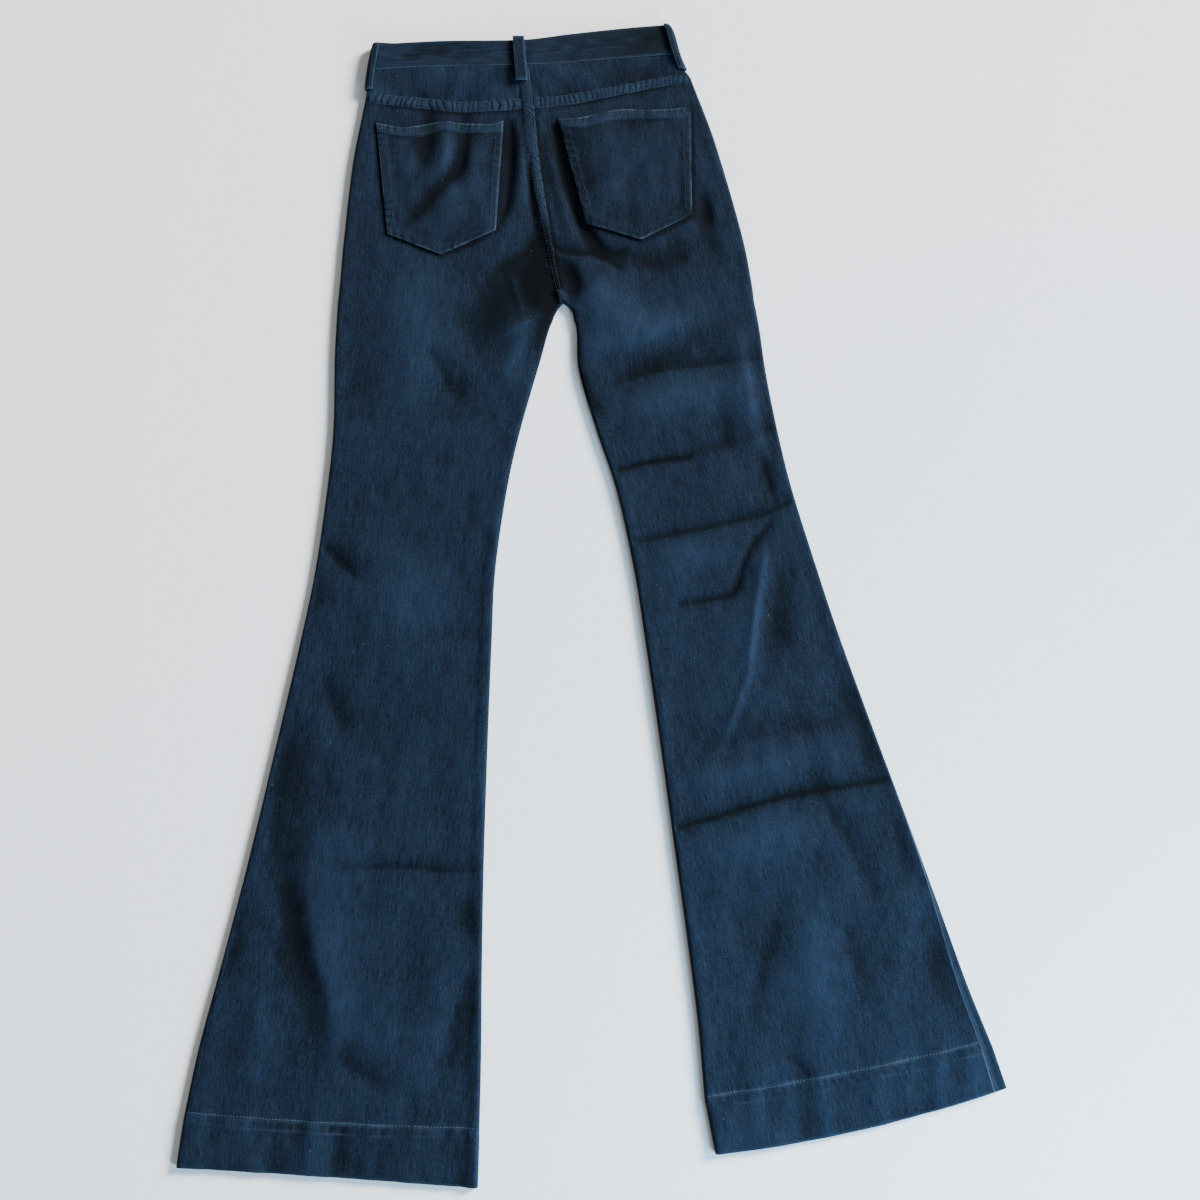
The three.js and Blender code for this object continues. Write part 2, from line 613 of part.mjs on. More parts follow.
// The height of a grid's upper face over one place, or nothing where the grid doesn't reach
function heightOver(grid, x, y) {
  let highest = -Infinity;
  const inside = (a, b, c) => {
    const area = (b.x - a.x) * (c.y - a.y) - (c.x - a.x) * (b.y - a.y);
    const u = ((b.x - x) * (c.y - y) - (c.x - x) * (b.y - y)) / area;
    const v = ((c.x - x) * (a.y - y) - (a.x - x) * (c.y - y)) / area;
    const w = 1 - u - v;
    if (Math.min(u, v, w) >= 0) {
      highest = Math.max(highest, u * a.z + v * b.z + w * c.z);
    }
  };
  for (let i = 0; i + 1 < grid.length; i += 1) {
    for (let j = 0; j + 1 < grid[i].length; j += 1) {
      const corners = [grid[i][j], grid[i + 1][j], grid[i + 1][j + 1], grid[i][j + 1]];
      const [a, b, c, d] = corners.map((place) => place.point);
      inside(a, b, c);
      inside(a, c, d);
    }
  }
  return highest;
}

// A patch pocket on a leg, made over the leg's own points
function pocket(name, shape, under, material) {
  const columns = 10;
  const rows = 9;
  const corner = (which) => new THREE.Vector2(...shape[which]);
  const grid = [];
  for (let i = 0; i <= rows; i += 1) {
    const row = [];
    for (let j = 0; j <= columns; j += 1) {
      const t = j / columns;
      const mouth = corner('topOuter').lerp(corner('topInner'), t);
      mouth.y -= shape.mouthDip * 4 * t * (1 - t);
      const outerFoot = corner('footOuter').lerp(corner('tip'), 2 * t);
      const innerFoot = corner('tip').lerp(corner('footInner'), 2 * t - 1);
      const foot = t < 0.5 ? outerFoot : innerFoot;
      const plan = mouth.lerp(foot, i / rows);
      const z = heightOver(under, plan.x, plan.y) + restGap + pocketDenim;
      row.push({ point: new THREE.Vector3(plan.x, plan.y, z), inward: new THREE.Vector3(0, 0, -1) });
    }
    grid.push(row);
  }
  return wall(name, grid, pocketDenim, material);
}

// A belt loop flat on the band and the yokes, from its top end to its foot
function flatLoop(name, top, foot, heightAt, over, material) {
  const rows = 8;
  const grid = [];
  for (let i = 0; i <= rows; i += 1) {
    const centre = new THREE.Vector2(...top).lerp(new THREE.Vector2(...foot), i / rows);
    const row = [-0.5, 0, 0.5].map((share) => {
      const x = centre.x + share * loopWidth;
      const point = new THREE.Vector3(x, centre.y, heightAt(x, centre.y));
      return { point, inward: new THREE.Vector3(0, 0, -over) };
    });
    grid.push(row);
  }
  return wall(name, grid, loopDenim, material);
}

// A belt loop round a side crease, from one walk over the crease to another
function sideLoop(name, side, sideX, topY, footY, material) {
  const rows = 7;
  const columns = 5;
  const walks = [-1, loopWidth - 1];
  const seamY = backBand.at(side > 0 ? -1 : 0).seam;
  const grid = [];
  for (let i = 0; i <= rows; i += 1) {
    const y = THREE.MathUtils.lerp(topY, footY, i / rows);
    const edgeX = follow(sideX, 'y', 'x', y);
    const drop = 0.05 * Math.max(seamY - y, 0);
    const [top, under] = [bandSideHeight - drop, frontBandHeight + drop];
    const crease = (top + under) / 2;
    const row = [];
    for (let j = 0; j <= columns; j += 1) {
      const at = roundCrease(THREE.MathUtils.lerp(...walks, j / columns), top, crease, under);
      const radius = top - crease;
      const [c, s] = [Math.cos(at.turn), at.over * Math.sin(at.turn)];
      const point = new THREE.Vector3(edgeX - side * at.inset, y, crease + radius * s);
      const inward = new THREE.Vector3(-side * c, 0, -s);
      point.addScaledVector(inward, -restGap - loopDenim);
      row.push({ point, inward });
    }
    grid.push(row);
  }
  return wall(name, grid, loopDenim, material);
}

// The button's domed head, face down under the front band
function button(material) {
  const profile = [
    [0, 0.2],
    [buttonRadius * 0.62, 0],
    [buttonRadius * 0.72, 0.3],
    [buttonRadius * 0.8, 0],
    [buttonRadius - 0.4, 0.1],
    [buttonRadius, 0.7],
    [buttonRadius - 0.5, buttonHeight - 0.3],
    [buttonRadius * 0.5, buttonHeight],
    [0, buttonHeight],
  ].map(([radius, height]) => new THREE.Vector2(radius, height));
  const geometry = new THREE.LatheGeometry(profile, 20);
  geometry.rotateX(Math.PI / 2);
  const mesh = new THREE.Mesh(geometry, material);
  mesh.name = 'button';
  mesh.position.set(centreFront + 3, frontSeam(centreFront) + bandHeight / 2, 0);
  return mesh;
}

const denimMaterial = new THREE.MeshStandardMaterial({ color: 0x16202e, roughness: 0.9, metalness: 0 });
const pocketMaterial = new THREE.MeshStandardMaterial({ color: 0x1a2636, roughness: 0.9, metalness: 0 });
const buttonMaterial = new THREE.MeshStandardMaterial({ color: 0x7a6a52, roughness: 0.4, metalness: 1 });

const leftBack = backLeg('back_leg_left', leftSeat, leftLeg, denimMaterial);
const rightBack = backLeg('back_leg_right', rightSeat, rightLeg, denimMaterial);
const leftYoke = yoke('yoke_left', leftSeat, -1, leftSide, denimMaterial);
const rightYoke = yoke('yoke_right', rightSeat, 1, rightSide, denimMaterial);
const band = waistband(denimMaterial);

const overBack = (x, y) => {
  const onYoke = Math.max(heightOver(leftYoke.grid, x, y), heightOver(rightYoke.grid, x, y));
  const under = y > backSeam(x) - 1 ? backBandHeight(x) : onYoke;
  return under + seamGap + loopDenim;
};
const underFront = () => 0;
const frontLoopPlaces = { left: -140, right: 10 };
const frontLoop = (name, x) => {
  const ends = [[x, frontSeam(x) + bandHeight], [x, frontSeam(x) - frontFlat + 1]];
  return flatLoop(name, ...ends, underFront, -1, denimMaterial);
};

const jeans = new THREE.Group();
jeans.add(
  leftBack.mesh,
  rightBack.mesh,
  leftYoke.mesh,
  rightYoke.mesh,
  frontLeg('front_leg_left', leftSeat, leftLeg, -1, leftSide, denimMaterial),
  frontLeg('front_leg_right', rightSeat, rightLeg, 1, rightSide, denimMaterial),
  band.mesh,
  pocket('back_pocket_left', leftPocket, leftBack.grid, pocketMaterial),
  pocket('back_pocket_right', rightPocket, rightBack.grid, pocketMaterial),
  flatLoop('loop_back_center', [-77, 567], [-73, 520], overBack, 1, denimMaterial),
  sideLoop('loop_side_left', -1, leftSide, 560, 510, denimMaterial),
  sideLoop('loop_side_right', 1, rightSide, 583, 532, denimMaterial),
  frontLoop('loop_front_left', frontLoopPlaces.left),
  frontLoop('loop_front_right', frontLoopPlaces.right),
  button(buttonMaterial),
);

// The origin is the middle of the jeans' box, on the surface that they lie on.
const box = new THREE.Box3().setFromObject(jeans);
const middle = box.getCenter(new THREE.Vector3());
jeans.position.set(-middle.x, -middle.y, -box.min.z);
jeans.updateMatrixWorld(true);

export default jeans;
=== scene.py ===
import json
import math

import bpy
import numpy as np
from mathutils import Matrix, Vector
from mathutils.bvhtree import BVHTree

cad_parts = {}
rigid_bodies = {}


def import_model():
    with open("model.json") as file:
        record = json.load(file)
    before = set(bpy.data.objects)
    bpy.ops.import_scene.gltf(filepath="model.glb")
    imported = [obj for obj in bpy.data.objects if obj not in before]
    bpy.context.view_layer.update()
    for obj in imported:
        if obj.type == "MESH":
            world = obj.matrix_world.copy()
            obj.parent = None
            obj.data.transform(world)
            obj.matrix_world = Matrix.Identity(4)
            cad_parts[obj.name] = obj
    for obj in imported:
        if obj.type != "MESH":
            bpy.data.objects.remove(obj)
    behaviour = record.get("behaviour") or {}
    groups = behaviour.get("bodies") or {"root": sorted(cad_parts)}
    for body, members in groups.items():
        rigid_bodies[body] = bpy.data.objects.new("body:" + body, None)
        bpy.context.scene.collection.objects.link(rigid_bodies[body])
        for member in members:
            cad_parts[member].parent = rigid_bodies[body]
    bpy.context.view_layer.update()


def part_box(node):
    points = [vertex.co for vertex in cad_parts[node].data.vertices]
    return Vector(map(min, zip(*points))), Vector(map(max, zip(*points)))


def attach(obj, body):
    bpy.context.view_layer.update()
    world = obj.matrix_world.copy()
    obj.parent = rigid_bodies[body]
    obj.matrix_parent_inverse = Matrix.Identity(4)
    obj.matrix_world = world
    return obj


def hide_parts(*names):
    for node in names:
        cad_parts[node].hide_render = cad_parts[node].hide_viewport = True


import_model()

# Flared jeans lying on their front. The tables are in millimetres, as on the cutting table:
# X to the wearer's right, Y from the hems to the waist, Z up from the surface.
mm = 0.001
seamGap = 0.3
denimWall = 1.2
hemWall = 2.2
bandWall = 2.4
loopWall = 2.2
pocketWall = 1.3

# Sections from the yoke seam to the hem. The inner edge is the centre-back seam down to the crotch
# (row 4) and the inseam below it. Sag hangs a section's middle, roll turns the outseam onto the back.
leftCut = {
    "outerX": [-235, -247, -255, -258, -260, -261, -262, -262, -267, -277, -290, -310, -336, -360,
               -379, -391, -393, -398],
    "outerY": [503, 435, 352, 308, 284, 260, 224, 152, 91, 10, -60, -155, -275, -376,
               -452, -514, -526, -566],
    "innerX": [-67, -60, -46, -37, -30, -43, -53, -73, -86, -97, -100, -103, -106, -107,
               -107, -108, -108, -109],
    "innerY": [497, 432, 355, 308, 284, 260, 224, 152, 91, 10, -60, -155, -278, -382,
               -462, -529, -541, -585],
    "sag": [0, 0, 0, 0, 0, 0, 0, 0, 0, 0, 0, 0, 0, 0, 1, 3, 3, -1],
    "roll": [0] * 18,
    "notch": -1.6,
    # painted shade towards the hem
    "footShade": -0.07,
    "seamFirm": 1,
    "edge": ([-235, -231, -226], [503, 531, 563]),
    "bandFoot": 531,
    "way": -1,
}
rightCut = {
    "outerX": [102, 125, 152, 162, 165, 170, 176, 187, 201, 225, 247, 280, 312, 340,
               363, 384, 388, 399],
    "outerY": [523, 460, 362, 310, 286, 258, 212, 152, 91, 10, -60, -155, -245, -326,
               -393, -447, -458, -492],
    "innerX": [-67, -60, -46, -37, -30, -17, -14, 4, 24, 42, 53, 67, 80, 92,
               102, 108, 110, 118],
    "innerY": [497, 432, 355, 308, 284, 260, 214, 152, 91, 8, -64, -163, -260, -349,
               -430, -500, -512, -554],
    "sag": [0, 0, 0, 0, 0, 0, 0, 0, 0, 0, 0, 0, 0, 0, 2, 4, 5, 8],
    "roll": [0, 0, 0, 0, 0, 0, 0, 0, 0, 0, 0, 0, 2, 6, 10, 12, 13, 14],
    "notch": 3.2,  # how far the inner edge swings out just below the crotch
    "footShade": 0.05,  # how much painted light the leg gets towards the hem; below 0 it is painted shade
    "seamFirm": 0.55,  # how plainly the inseam's allowance shows through
    "edge": ([75, 78.5, 82, 88, 93.5, 102], [584, 580, 572, 549, 536, 523]),  # the side of the waist
    "bandFoot": 549,  # where the band meets that side
    "way": 1,
}
crotchRow = 4
hemRow = 15

# Seam lines that several pieces share
seams = {
    "yokeX": [-235, -207, -160, -134, -102, -67, -36, 17, 70, 102],
    "yokeY": [502, 499, 494.5, 492, 493.5, 496, 498, 508, 519, 523],
    "bandX": [-232, -190, -155, -71, -22, 31, 91],
    "bandSeam": [531, 534, 535, 536, 539, 544, 549],
    "bandTop": [558.5, 561, 562.5, 563, 569.5, 576, 581.5],
    "centreX": [-30, -37, -46, -60, -67, -73],
    "centreY": [284, 308, 355, 432, 497, 536],
}

# Heights of outer faces, where the front rises to its band, and how far the folds reach
lie = {
    "seat": 6.2,
    "bandSide": 8.4,
    "bandCentreRise": 2.2,
    "bandCentreSpread": 75,
    "bandStep": 0.6,
    "frontBand": 2.5,
    "frontFlat": 15,
    "frontSlope": 65,
    "backSlope": 48,
    "creaseShare": 0.42,
    "centreFront": -67,
    "frontDip": 523,
    "bandHeight": 32,
    "flyBottom": 385,
    "flyLap": 6,
    "flyUnderlap": 4,
    "flySpread": 9,
    "foldFade": 8,
    "foldScale": 1.35,
    "foldShade": 3.4,
    "crotchRound": 14,
    "bendReach": 60,
    "rest": 0.4,
}

# Where the laid-out tables sit in the part's frame, from the left hem's outer and inner corners
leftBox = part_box("back_leg_left")
shift = (leftBox[0][0] - leftCut["outerX"][-1] * mm, leftBox[0][1] - leftCut["innerY"][-1] * mm)
rng = np.random.default_rng(7)


def ramp(value, low, high):
    t = np.clip((value - low) / (high - low), 0, 1)
    return t * t * (3 - 2 * t)


def bell(away, wide):
    return np.exp(-((away / wide) ** 2))


def ripple(along, pitch, drift):
    # an even wave whose phase wanders
    return np.sin(along * 2 * math.pi / pitch + drift)


def fromStart(steps):
    return np.concatenate([[0], np.cumsum(steps)])


def overCloth(points):
    # how far each place lies over the cloth from its first column
    steps = np.linalg.norm(np.diff(points, axis=1), axis=2)
    return np.concatenate([np.zeros((len(points), 1)), np.cumsum(steps, 1)], 1)


def columnsIn(points):
    # how many columns each place is in from the nearer side
    count = np.arange(points.shape[1])
    return np.minimum(count, count[::-1])[None, :]


def follow(xs, ys, at):
    # a smooth curve through two columns
    if xs[0] > xs[-1]:
        xs, ys = xs[::-1], ys[::-1]
    xs, ys = np.array(xs, float), np.array(ys, float)
    at = np.clip(at, xs[0], xs[-1])
    i = np.clip(np.searchsorted(xs, at) - 1, 0, len(xs) - 2)
    spot = np.arange(len(xs))
    before = np.maximum(spot - 1, 0)
    after = np.minimum(spot + 1, len(xs) - 1)
    slope = (ys[after] - ys[before]) / (xs[after] - xs[before])
    span = xs[i + 1] - xs[i]
    t = (at - xs[i]) / span
    ends = ys[i] * (1 + 2 * t) * (1 - t) ** 2 + ys[i + 1] * t * t * (3 - 2 * t)
    return ends + span * t * (1 - t) * (slope[i] * (1 - t) - slope[i + 1] * t)


def between(values, place):
    # a column of sections read between its rows
    values = np.array(values, float)
    i = np.minimum(np.floor(place).astype(int), len(values) - 2)
    t = place - i
    a, b = values[np.maximum(i - 1, 0)], values[i]
    c, d = values[i + 1], values[np.minimum(i + 2, len(values) - 1)]
    return b + 0.5 * t * (c - a + t * (2 * a - 5 * b + 4 * c - d + t * (3 * (b - c) + d - a)))


def swells(x, y, seed, wave, count=22, lean=1.0):
    # uneven swells: many faint waves of mixed direction, about 1 high at most
    draws = np.random.default_rng(seed)
    total = 0
    for _ in range(count):
        angle = draws.uniform(0, math.pi)
        length = wave * draws.uniform(0.6, 1.9)
        phase = draws.uniform(0, 2 * math.pi)
        total = total + ripple(x * math.cos(angle) + y * math.sin(angle) * lean, length, phase)
    return total / math.sqrt(count)


# Folds of the back: height, half widths to the left and right of the line as it runs, sharpness
# (2 is a soft roll, 1 a pressed crease) and the line.
folds = {
    "leftPocketSide": (-3.6, 5, 7, 1.5, [(-85, 474), (-85, 430), (-88, 390), (-96, 366)]),
    "leftSeatCrest": (1.2, 6, 6, 1.8, [(-74, 470), (-73, 430), (-72, 388)]),
    "leftSeamLine": (-2.2, 3, 3.5, 1.3, [(-65, 440), (-64, 405), (-60, 372), (-56, 350)]),
    "rightSeatDip": (-1.3, 8, 6, 1.7, [(-51, 470), (-49, 430), (-41, 398), (-33, 360)]),
    "rightSeatCrest": (0.9, 6, 7, 1.8, [(-42, 440), (-34, 408), (-22, 372)]),
    "leftPocketSlant": (-2.5, 6, 13, 1.6, [(-131, 464), (-135, 430), (-152, 408), (-171, 388), (-184, 370)]),
    "leftPocketDip": (-2.4, 10, 9, 1.8, [(-168, 492), (-172, 458), (-175, 428)]),
    "leftPocketCrest": (1.4, 8, 8, 1.8, [(-150, 462), (-152, 436), (-164, 412)]),
    "leftYokeDip": (-1.5, 11, 14, 2, [(-124, 520), (-132, 490), (-130, 468)]),
    "leftYokeSwell": (1.0, 20, 20, 2, [(-150, 520), (-100, 522)]),
    "rightPocketSide": (-4.2, 5, 5.5, 1.4,
                        [(-40, 474), (-34, 436), (-25, 400), (-13, 368), (0, 345), (7, 334)]),
    "rightPocketFoot": (-2.6, 4, 5, 1.3, [(-9, 368), (1, 352), (9, 339), (22, 335), (34, 340)]),
    "rightCurl": (-2.6, 8, 2.6, 1.1, [(-42, 346), (-32, 338), (-14, 335), (3, 336), (16, 328), (28, 318)]),
    "rightThighTop": (-1.9, 15, 10, 1.8, [(30, 334), (68, 325), (98, 338)]),
    "rightSideDip": (-2.3, 6, 8, 1.7, [(113, 400), (116, 384), (119, 366)]),
    "rightSideFade": (-1.3, 9, 12, 2, [(112, 384), (118, 360), (124, 330)]),
    "crotchHollow": (-4.6, 10, 10, 1.8, [(-58, 352), (-50, 325), (-42, 300), (-38, 286)]),
    "crotchRight": (-4.6, 8, 8, 1.6, [(-30, 325), (-23, 313), (-19, 302), (-22, 291)]),
    "crotchLine": (-1.8, 5, 7, 1.4, [(-100, 318), (-80, 330), (-60, 345)]),
    "crotchGleam": (1.6, 4.5, 4, 1.6, [(-84, 312), (-76, 292), (-70, 272)]),
    "rightThighSwell": (2.6, 24, 22, 2, [(-8, 300), (20, 274), (48, 262)]),
    "leftHollow": (-2.3, 21, 22, 2, [(-60, 330), (-88, 300), (-108, 262), (-112, 232)]),
    "leftCrotchPit": (-3.2, 11, 12, 1.8, [(-58, 322), (-64, 300), (-68, 278)]),
    "leftHollowRim": (2.4, 13, 15, 1.9, [(-58, 262), (-76, 240), (-92, 205)]),
    "leftFineFold": (1.7, 3.6, 7, 1.3, [(-50, 269), (-66, 264), (-83, 255), (-93, 248)]),
    "leftThighNip": (-1.6, 8, 9, 1.4, [(-169, 238), (-148, 205), (-138, 185)]),
    "leftThighNipTwo": (-1.3, 6, 7, 1.4, [(-134, 210), (-131, 176)]),
    "leftThighSwell": (1.6, 34, 26, 2, [(-184, 310), (-186, 180)]),
    "leftThighSoft": (-1.1, 15, 12, 2, [(-234, 217), (-244, 178)]),
    "leftThighFine": (-1.0, 8, 7, 1.6, [(-123, 91), (-127, 53)]),
    "leftKneeNip": (-1.0, 6, 8, 1.5, [(-107, 46), (-103, 30)]),
    "leftKneeSide": (-2.2, 10, 4, 1.2, [(-272, 38), (-256, 20), (-236, 1)]),
    "leftKneeEdge": (-1.5, 10, 7, 1.7, [(-276, 5), (-284, -32)]),
    "leftKneeSwell": (1.3, 34, 26, 2, [(-200, 40), (-190, -60)]),
    "leftShin": (-1.9, 15, 9, 1.8, [(-266, -96), (-256, -122), (-244, -150)]),
    "leftCalfAcross": (-1.7, 8, 2.6, 1.1, [(-256, -286), (-191, -283), (-146, -287), (-112, -286)]),
    "leftCalfBand": (-1.5, 26, 14, 2, [(-288, -140), (-305, -208), (-306, -270), (-296, -330)]),
    "leftFlareCrest": (1.8, 40, 10, 1.6,
                       [(-266, -240), (-277, -300), (-268, -360), (-252, -410), (-250, -462)]),
    "leftFlareHollow": (-1.8, 12, 20, 1.8, [(-296, -300), (-286, -360), (-268, -414), (-264, -456)]),
    "leftFlareSoft": (-1.2, 12, 14, 2, [(-129, -317), (-116, -352)]),
    "leftFlareInner": (-1.5, 16, 9, 1.8, [(-122, -390), (-130, -425), (-142, -475)]),
    "leftAboveHem": (-1.5, 15, 8, 1.7, [(-250, -458), (-226, -476), (-196, -492)]),
    "leftFlareEdge": (-1.4, 10, 10, 2, [(-346, -300), (-358, -390)]),
    "leftFlareWave": (1.2, 18, 12, 2, [(-318, -400), (-332, -490)]),
    "leftHemSoft": (1.0, 22, 18, 2, [(-160, -420), (-168, -500)]),
    "rightRidge": (2.6, 16, 10, 1.6, [(-14, 234), (32, 244), (88, 264)]),
    "rightRidgeShade": (-1.5, 12, 12, 1.8, [(30, 206), (64, 222), (112, 250)]),
    "rightFirst": (-1.6, 11, 2.6, 1.15, [(20, 199), (60, 212), (107, 218), (178, 227)]),
    "rightFirstSwell": (1.8, 14, 22, 2, [(30, 176), (90, 188), (150, 194)]),
    "rightOuterDip": (-0.9, 9, 10, 2, [(126, 196), (134, 150), (140, 128)]),
    "rightOuterRidge": (1.7, 8, 12, 1.8, [(146, 250), (156, 205), (160, 160), (168, 122)]),
    "rightCrease": (-3.2, 3.4, 2.2, 1.05, [(15, 107), (50, 117), (98, 124)]),
    "rightCreaseFade": (-1.1, 10, 6, 1.7, [(90, 123), (134, 138), (188, 156)]),
    "rightKneeEdge": (-1.8, 6, 9, 1.6, [(166, 130), (176, 102), (182, 78)]),
    "rightKneeTop": (-2.3, 7, 2.6, 1.15, [(38, 37), (80, 45), (119, 53), (174, 67), (203, 82)]),
    "rightKneeSwell": (1.3, 14, 22, 2, [(60, 18), (130, 34)]),
    "rightKneeBack": (-2.4, 4.5, 3.2, 1.1, [(83, -26), (123, -19), (142, -11), (156, 29), (181, 60)]),
    "rightShinRidge": (3.0, 4.5, 10, 1.2, [(172, 26), (167, -5), (161, -40), (154, -104)]),
    "rightShinDip": (-1.4, 14, 12, 2, [(196, 30), (188, -20), (180, -80)]),
    "rightShinLine": (1.5, 3.2, 5, 1.2, [(152, -98), (142, -130), (128, -166)]),
    "rightCalfTop": (-1.2, 20, 6, 1.6, [(100, -170), (150, -158), (191, -150), (256, -137)]),
    "rightCalfSwell": (1.6, 12, 18, 2, [(96, -200), (190, -180), (240, -172)]),
    "rightCalfCrease": (-3.1, 5, 2.2, 1, [(70, -249), (117, -236), (167, -221), (212, -211), (300, -197)]),
    "rightCalfLow": (1.4, 16, 30, 2, [(100, -268), (220, -244)]),
    "rightCalfSplit": (-1.4, 13, 7, 1.6, [(212, -176), (225, -212), (246, -250), (278, -314)]),
    "rightCalfSide": (-1.4, 15, 10, 1.7, [(240, -104), (262, -140), (274, -190)]),
    "rightCalfWave": (-1.4, 9, 9, 1.7, [(296, -236), (308, -290)]),
    "rightFlareOne": (-1.1, 13, 8, 1.8, [(184, -306), (168, -370), (157, -424)]),
    "rightFlareTwo": (-1.1, 11, 8, 1.8, [(246, -336), (262, -396)]),
    "rightFlareSwell": (1.5, 22, 18, 2, [(214, -330), (216, -420)]),
    "rightFlareEdge": (-1.1, 14, 10, 1.7, [(322, -330), (335, -386), (356, -440)]),
    "rightHemNip": (-1.2, 5, 7, 1.4, [(190, -462), (212, -485)]),
}


def lineFold(x, y, rise, leftWidth, rightWidth, sharp, line):
    # the rise of one fold at many places
    line = np.array(line, float)
    fine = np.linspace(0, len(line) - 1, 6 * (len(line) - 1) + 1)
    px, py = between(line[:, 0], fine), between(line[:, 1], fine)
    reach = 3.2 * max(leftWidth, rightWidth)
    near = (x > px.min() - reach) & (x < px.max() + reach)
    near &= (y > py.min() - reach) & (y < py.max() + reach)
    out = np.zeros_like(x)
    if not near.any():
        return out
    qx, qy = x[near], y[near]
    steps = np.hypot(np.diff(px), np.diff(py))
    starts = fromStart(steps)
    best, side, walk = np.full(qx.shape, 1e9), np.zeros(qx.shape), np.zeros(qx.shape)
    for k, step in enumerate(steps):
        dx, dy = px[k + 1] - px[k], py[k + 1] - py[k]
        t = np.clip(((qx - px[k]) * dx + (qy - py[k]) * dy) / step ** 2, 0, 1)
        away = np.hypot(qx - px[k] - t * dx, qy - py[k] - t * dy)
        closer = away < best
        best = np.where(closer, away, best)
        side = np.where(closer, dx * (qy - py[k]) - dy * (qx - px[k]), side)
        walk = np.where(closer, starts[k] + t * step, walk)
    width = np.where(side > 0, leftWidth, rightWidth)
    share = walk / starts[-1]
    taper = 0.35 + 0.65 * np.sqrt(np.clip(np.sin(math.pi * share), 0, 1))
    out[near] = rise * taper * np.exp(-(best / width) ** sharp)
    return out


def foldSum(x, y):
    total = np.zeros_like(x)
    for rise, leftWidth, rightWidth, sharp, line in folds.values():
        total += lineFold(x, y, rise, leftWidth, rightWidth, sharp, line)
    total *= lie["foldScale"]
    total += 0.42 * swells(x, y, 3, 62, lean=0.6) + 0.2 * swells(x, y, 4, 20, lean=0.8)
    return total


def frontSeam(x):
    toLeft = (x - lie["centreFront"]) / (seams["bandX"][0] - lie["centreFront"])
    toRight = (x - lie["centreFront"]) / (seams["bandX"][-1] - lie["centreFront"])
    left = lie["frontDip"] + (leftCut["bandFoot"] - lie["frontDip"]) * toLeft
    right = lie["frontDip"] + (rightCut["bandFoot"] - lie["frontDip"]) * toRight
    return np.where(x < lie["centreFront"], left, right)


def backSeam(x):
    return follow(seams["bandX"], seams["bandSeam"], x)


def bandTop(x):
    return follow(seams["bandX"], seams["bandTop"], x)


def yokeSeam(x):
    return follow(seams["yokeX"], seams["yokeY"], x)


def centreSeam(y):
    return follow(seams["centreY"], seams["centreX"], y)


def sideEdge(cut, y):
    return follow(cut["edge"][1], cut["edge"][0], y)


def bandFace(x):
    return lie["bandSide"] + lie["bandCentreRise"] * bell(x - lie["centreFront"], lie["bandCentreSpread"])


def flyLift(x, y):
    past = x - centreSeam(y) - lie["flyLap"]
    across = 1 - ramp(past, 1, lie["flySpread"])
    return (denimWall + seamGap) * across * ramp(y, lie["flyBottom"] - 50, lie["flyBottom"] - 24)


def frontFace(x, y):
    below = frontSeam(x) - y
    return (lie["frontBand"] + lie["bandStep"]) * (1 - ramp(below, lie["frontFlat"], lie["frontSlope"]))


def backPlain(x, y):
    rise = bandFace(x) - lie["bandStep"] - lie["seat"]
    return lie["seat"] + rise * (1 - ramp(backSeam(x) - y, 0, lie["backSlope"]))


def backFace(x, y, fade=1.0):
    # the back's outer face: never lower than the walls under it need, with a soft landing
    overFly = x > centreSeam(y) - lie["flyUnderlap"] - 2
    lowest = frontFace(x, y) + np.where(overFly, flyLift(x, y), 0) + 2 * denimWall + lie["rest"]
    free = backPlain(x, y) + fade * foldSum(x, y) - lowest
    soft = 0.5
    return lowest + np.where(free > 8, free, soft * np.log1p(np.exp(np.clip(free, -40, 8) / soft)))


def roundCrease(walk, top, crease, under):
    radius = np.where(walk > 0, top - crease, crease - under)
    turn = np.minimum(np.abs(walk) / radius, math.pi / 2)
    past = np.abs(walk) - turn * radius
    return radius * (1 - np.cos(turn)) + past, turn


def sectionsOf(cut, spacing):
    # fine sections of a leg, with the crotch kept as a corner
    runs = []
    for first, last in ((0, crotchRow), (crotchRow, len(cut["outerX"]) - 1)):
        rows = {key: values[first:last + 1] for key, values in cut.items() if isinstance(values, list)}
        places = []
        for i in range(last - first):
            stepX = rows["outerX"][i + 1] - rows["outerX"][i]
            reach = math.hypot(stepX, rows["outerY"][i + 1] - rows["outerY"][i])
            count = max(1, round(reach / spacing))
            steps = np.arange(count) / count
            if first + i == hemRow - 1:  # closer rows where the hem is sewn
                steps = np.concatenate([steps[steps < 0.84], np.linspace(0.86, 0.985, 8)])
            if first + i == hemRow:
                steps = np.arange(10) / 10
            places += list(i + steps)
        places.append(last - first)
        places = np.array(places, float)
        run = {key: between(values, places) for key, values in rows.items()}
        run["place"] = places + first
        if first:
            run["innerX"] += cut["notch"] * np.sin(math.pi * np.clip(places * 1.3, 0, 1)) ** 0.6
        runs.append(run)
    return {key: np.concatenate([runs[0][key], runs[1][key][1:]]) for key in runs[0]}


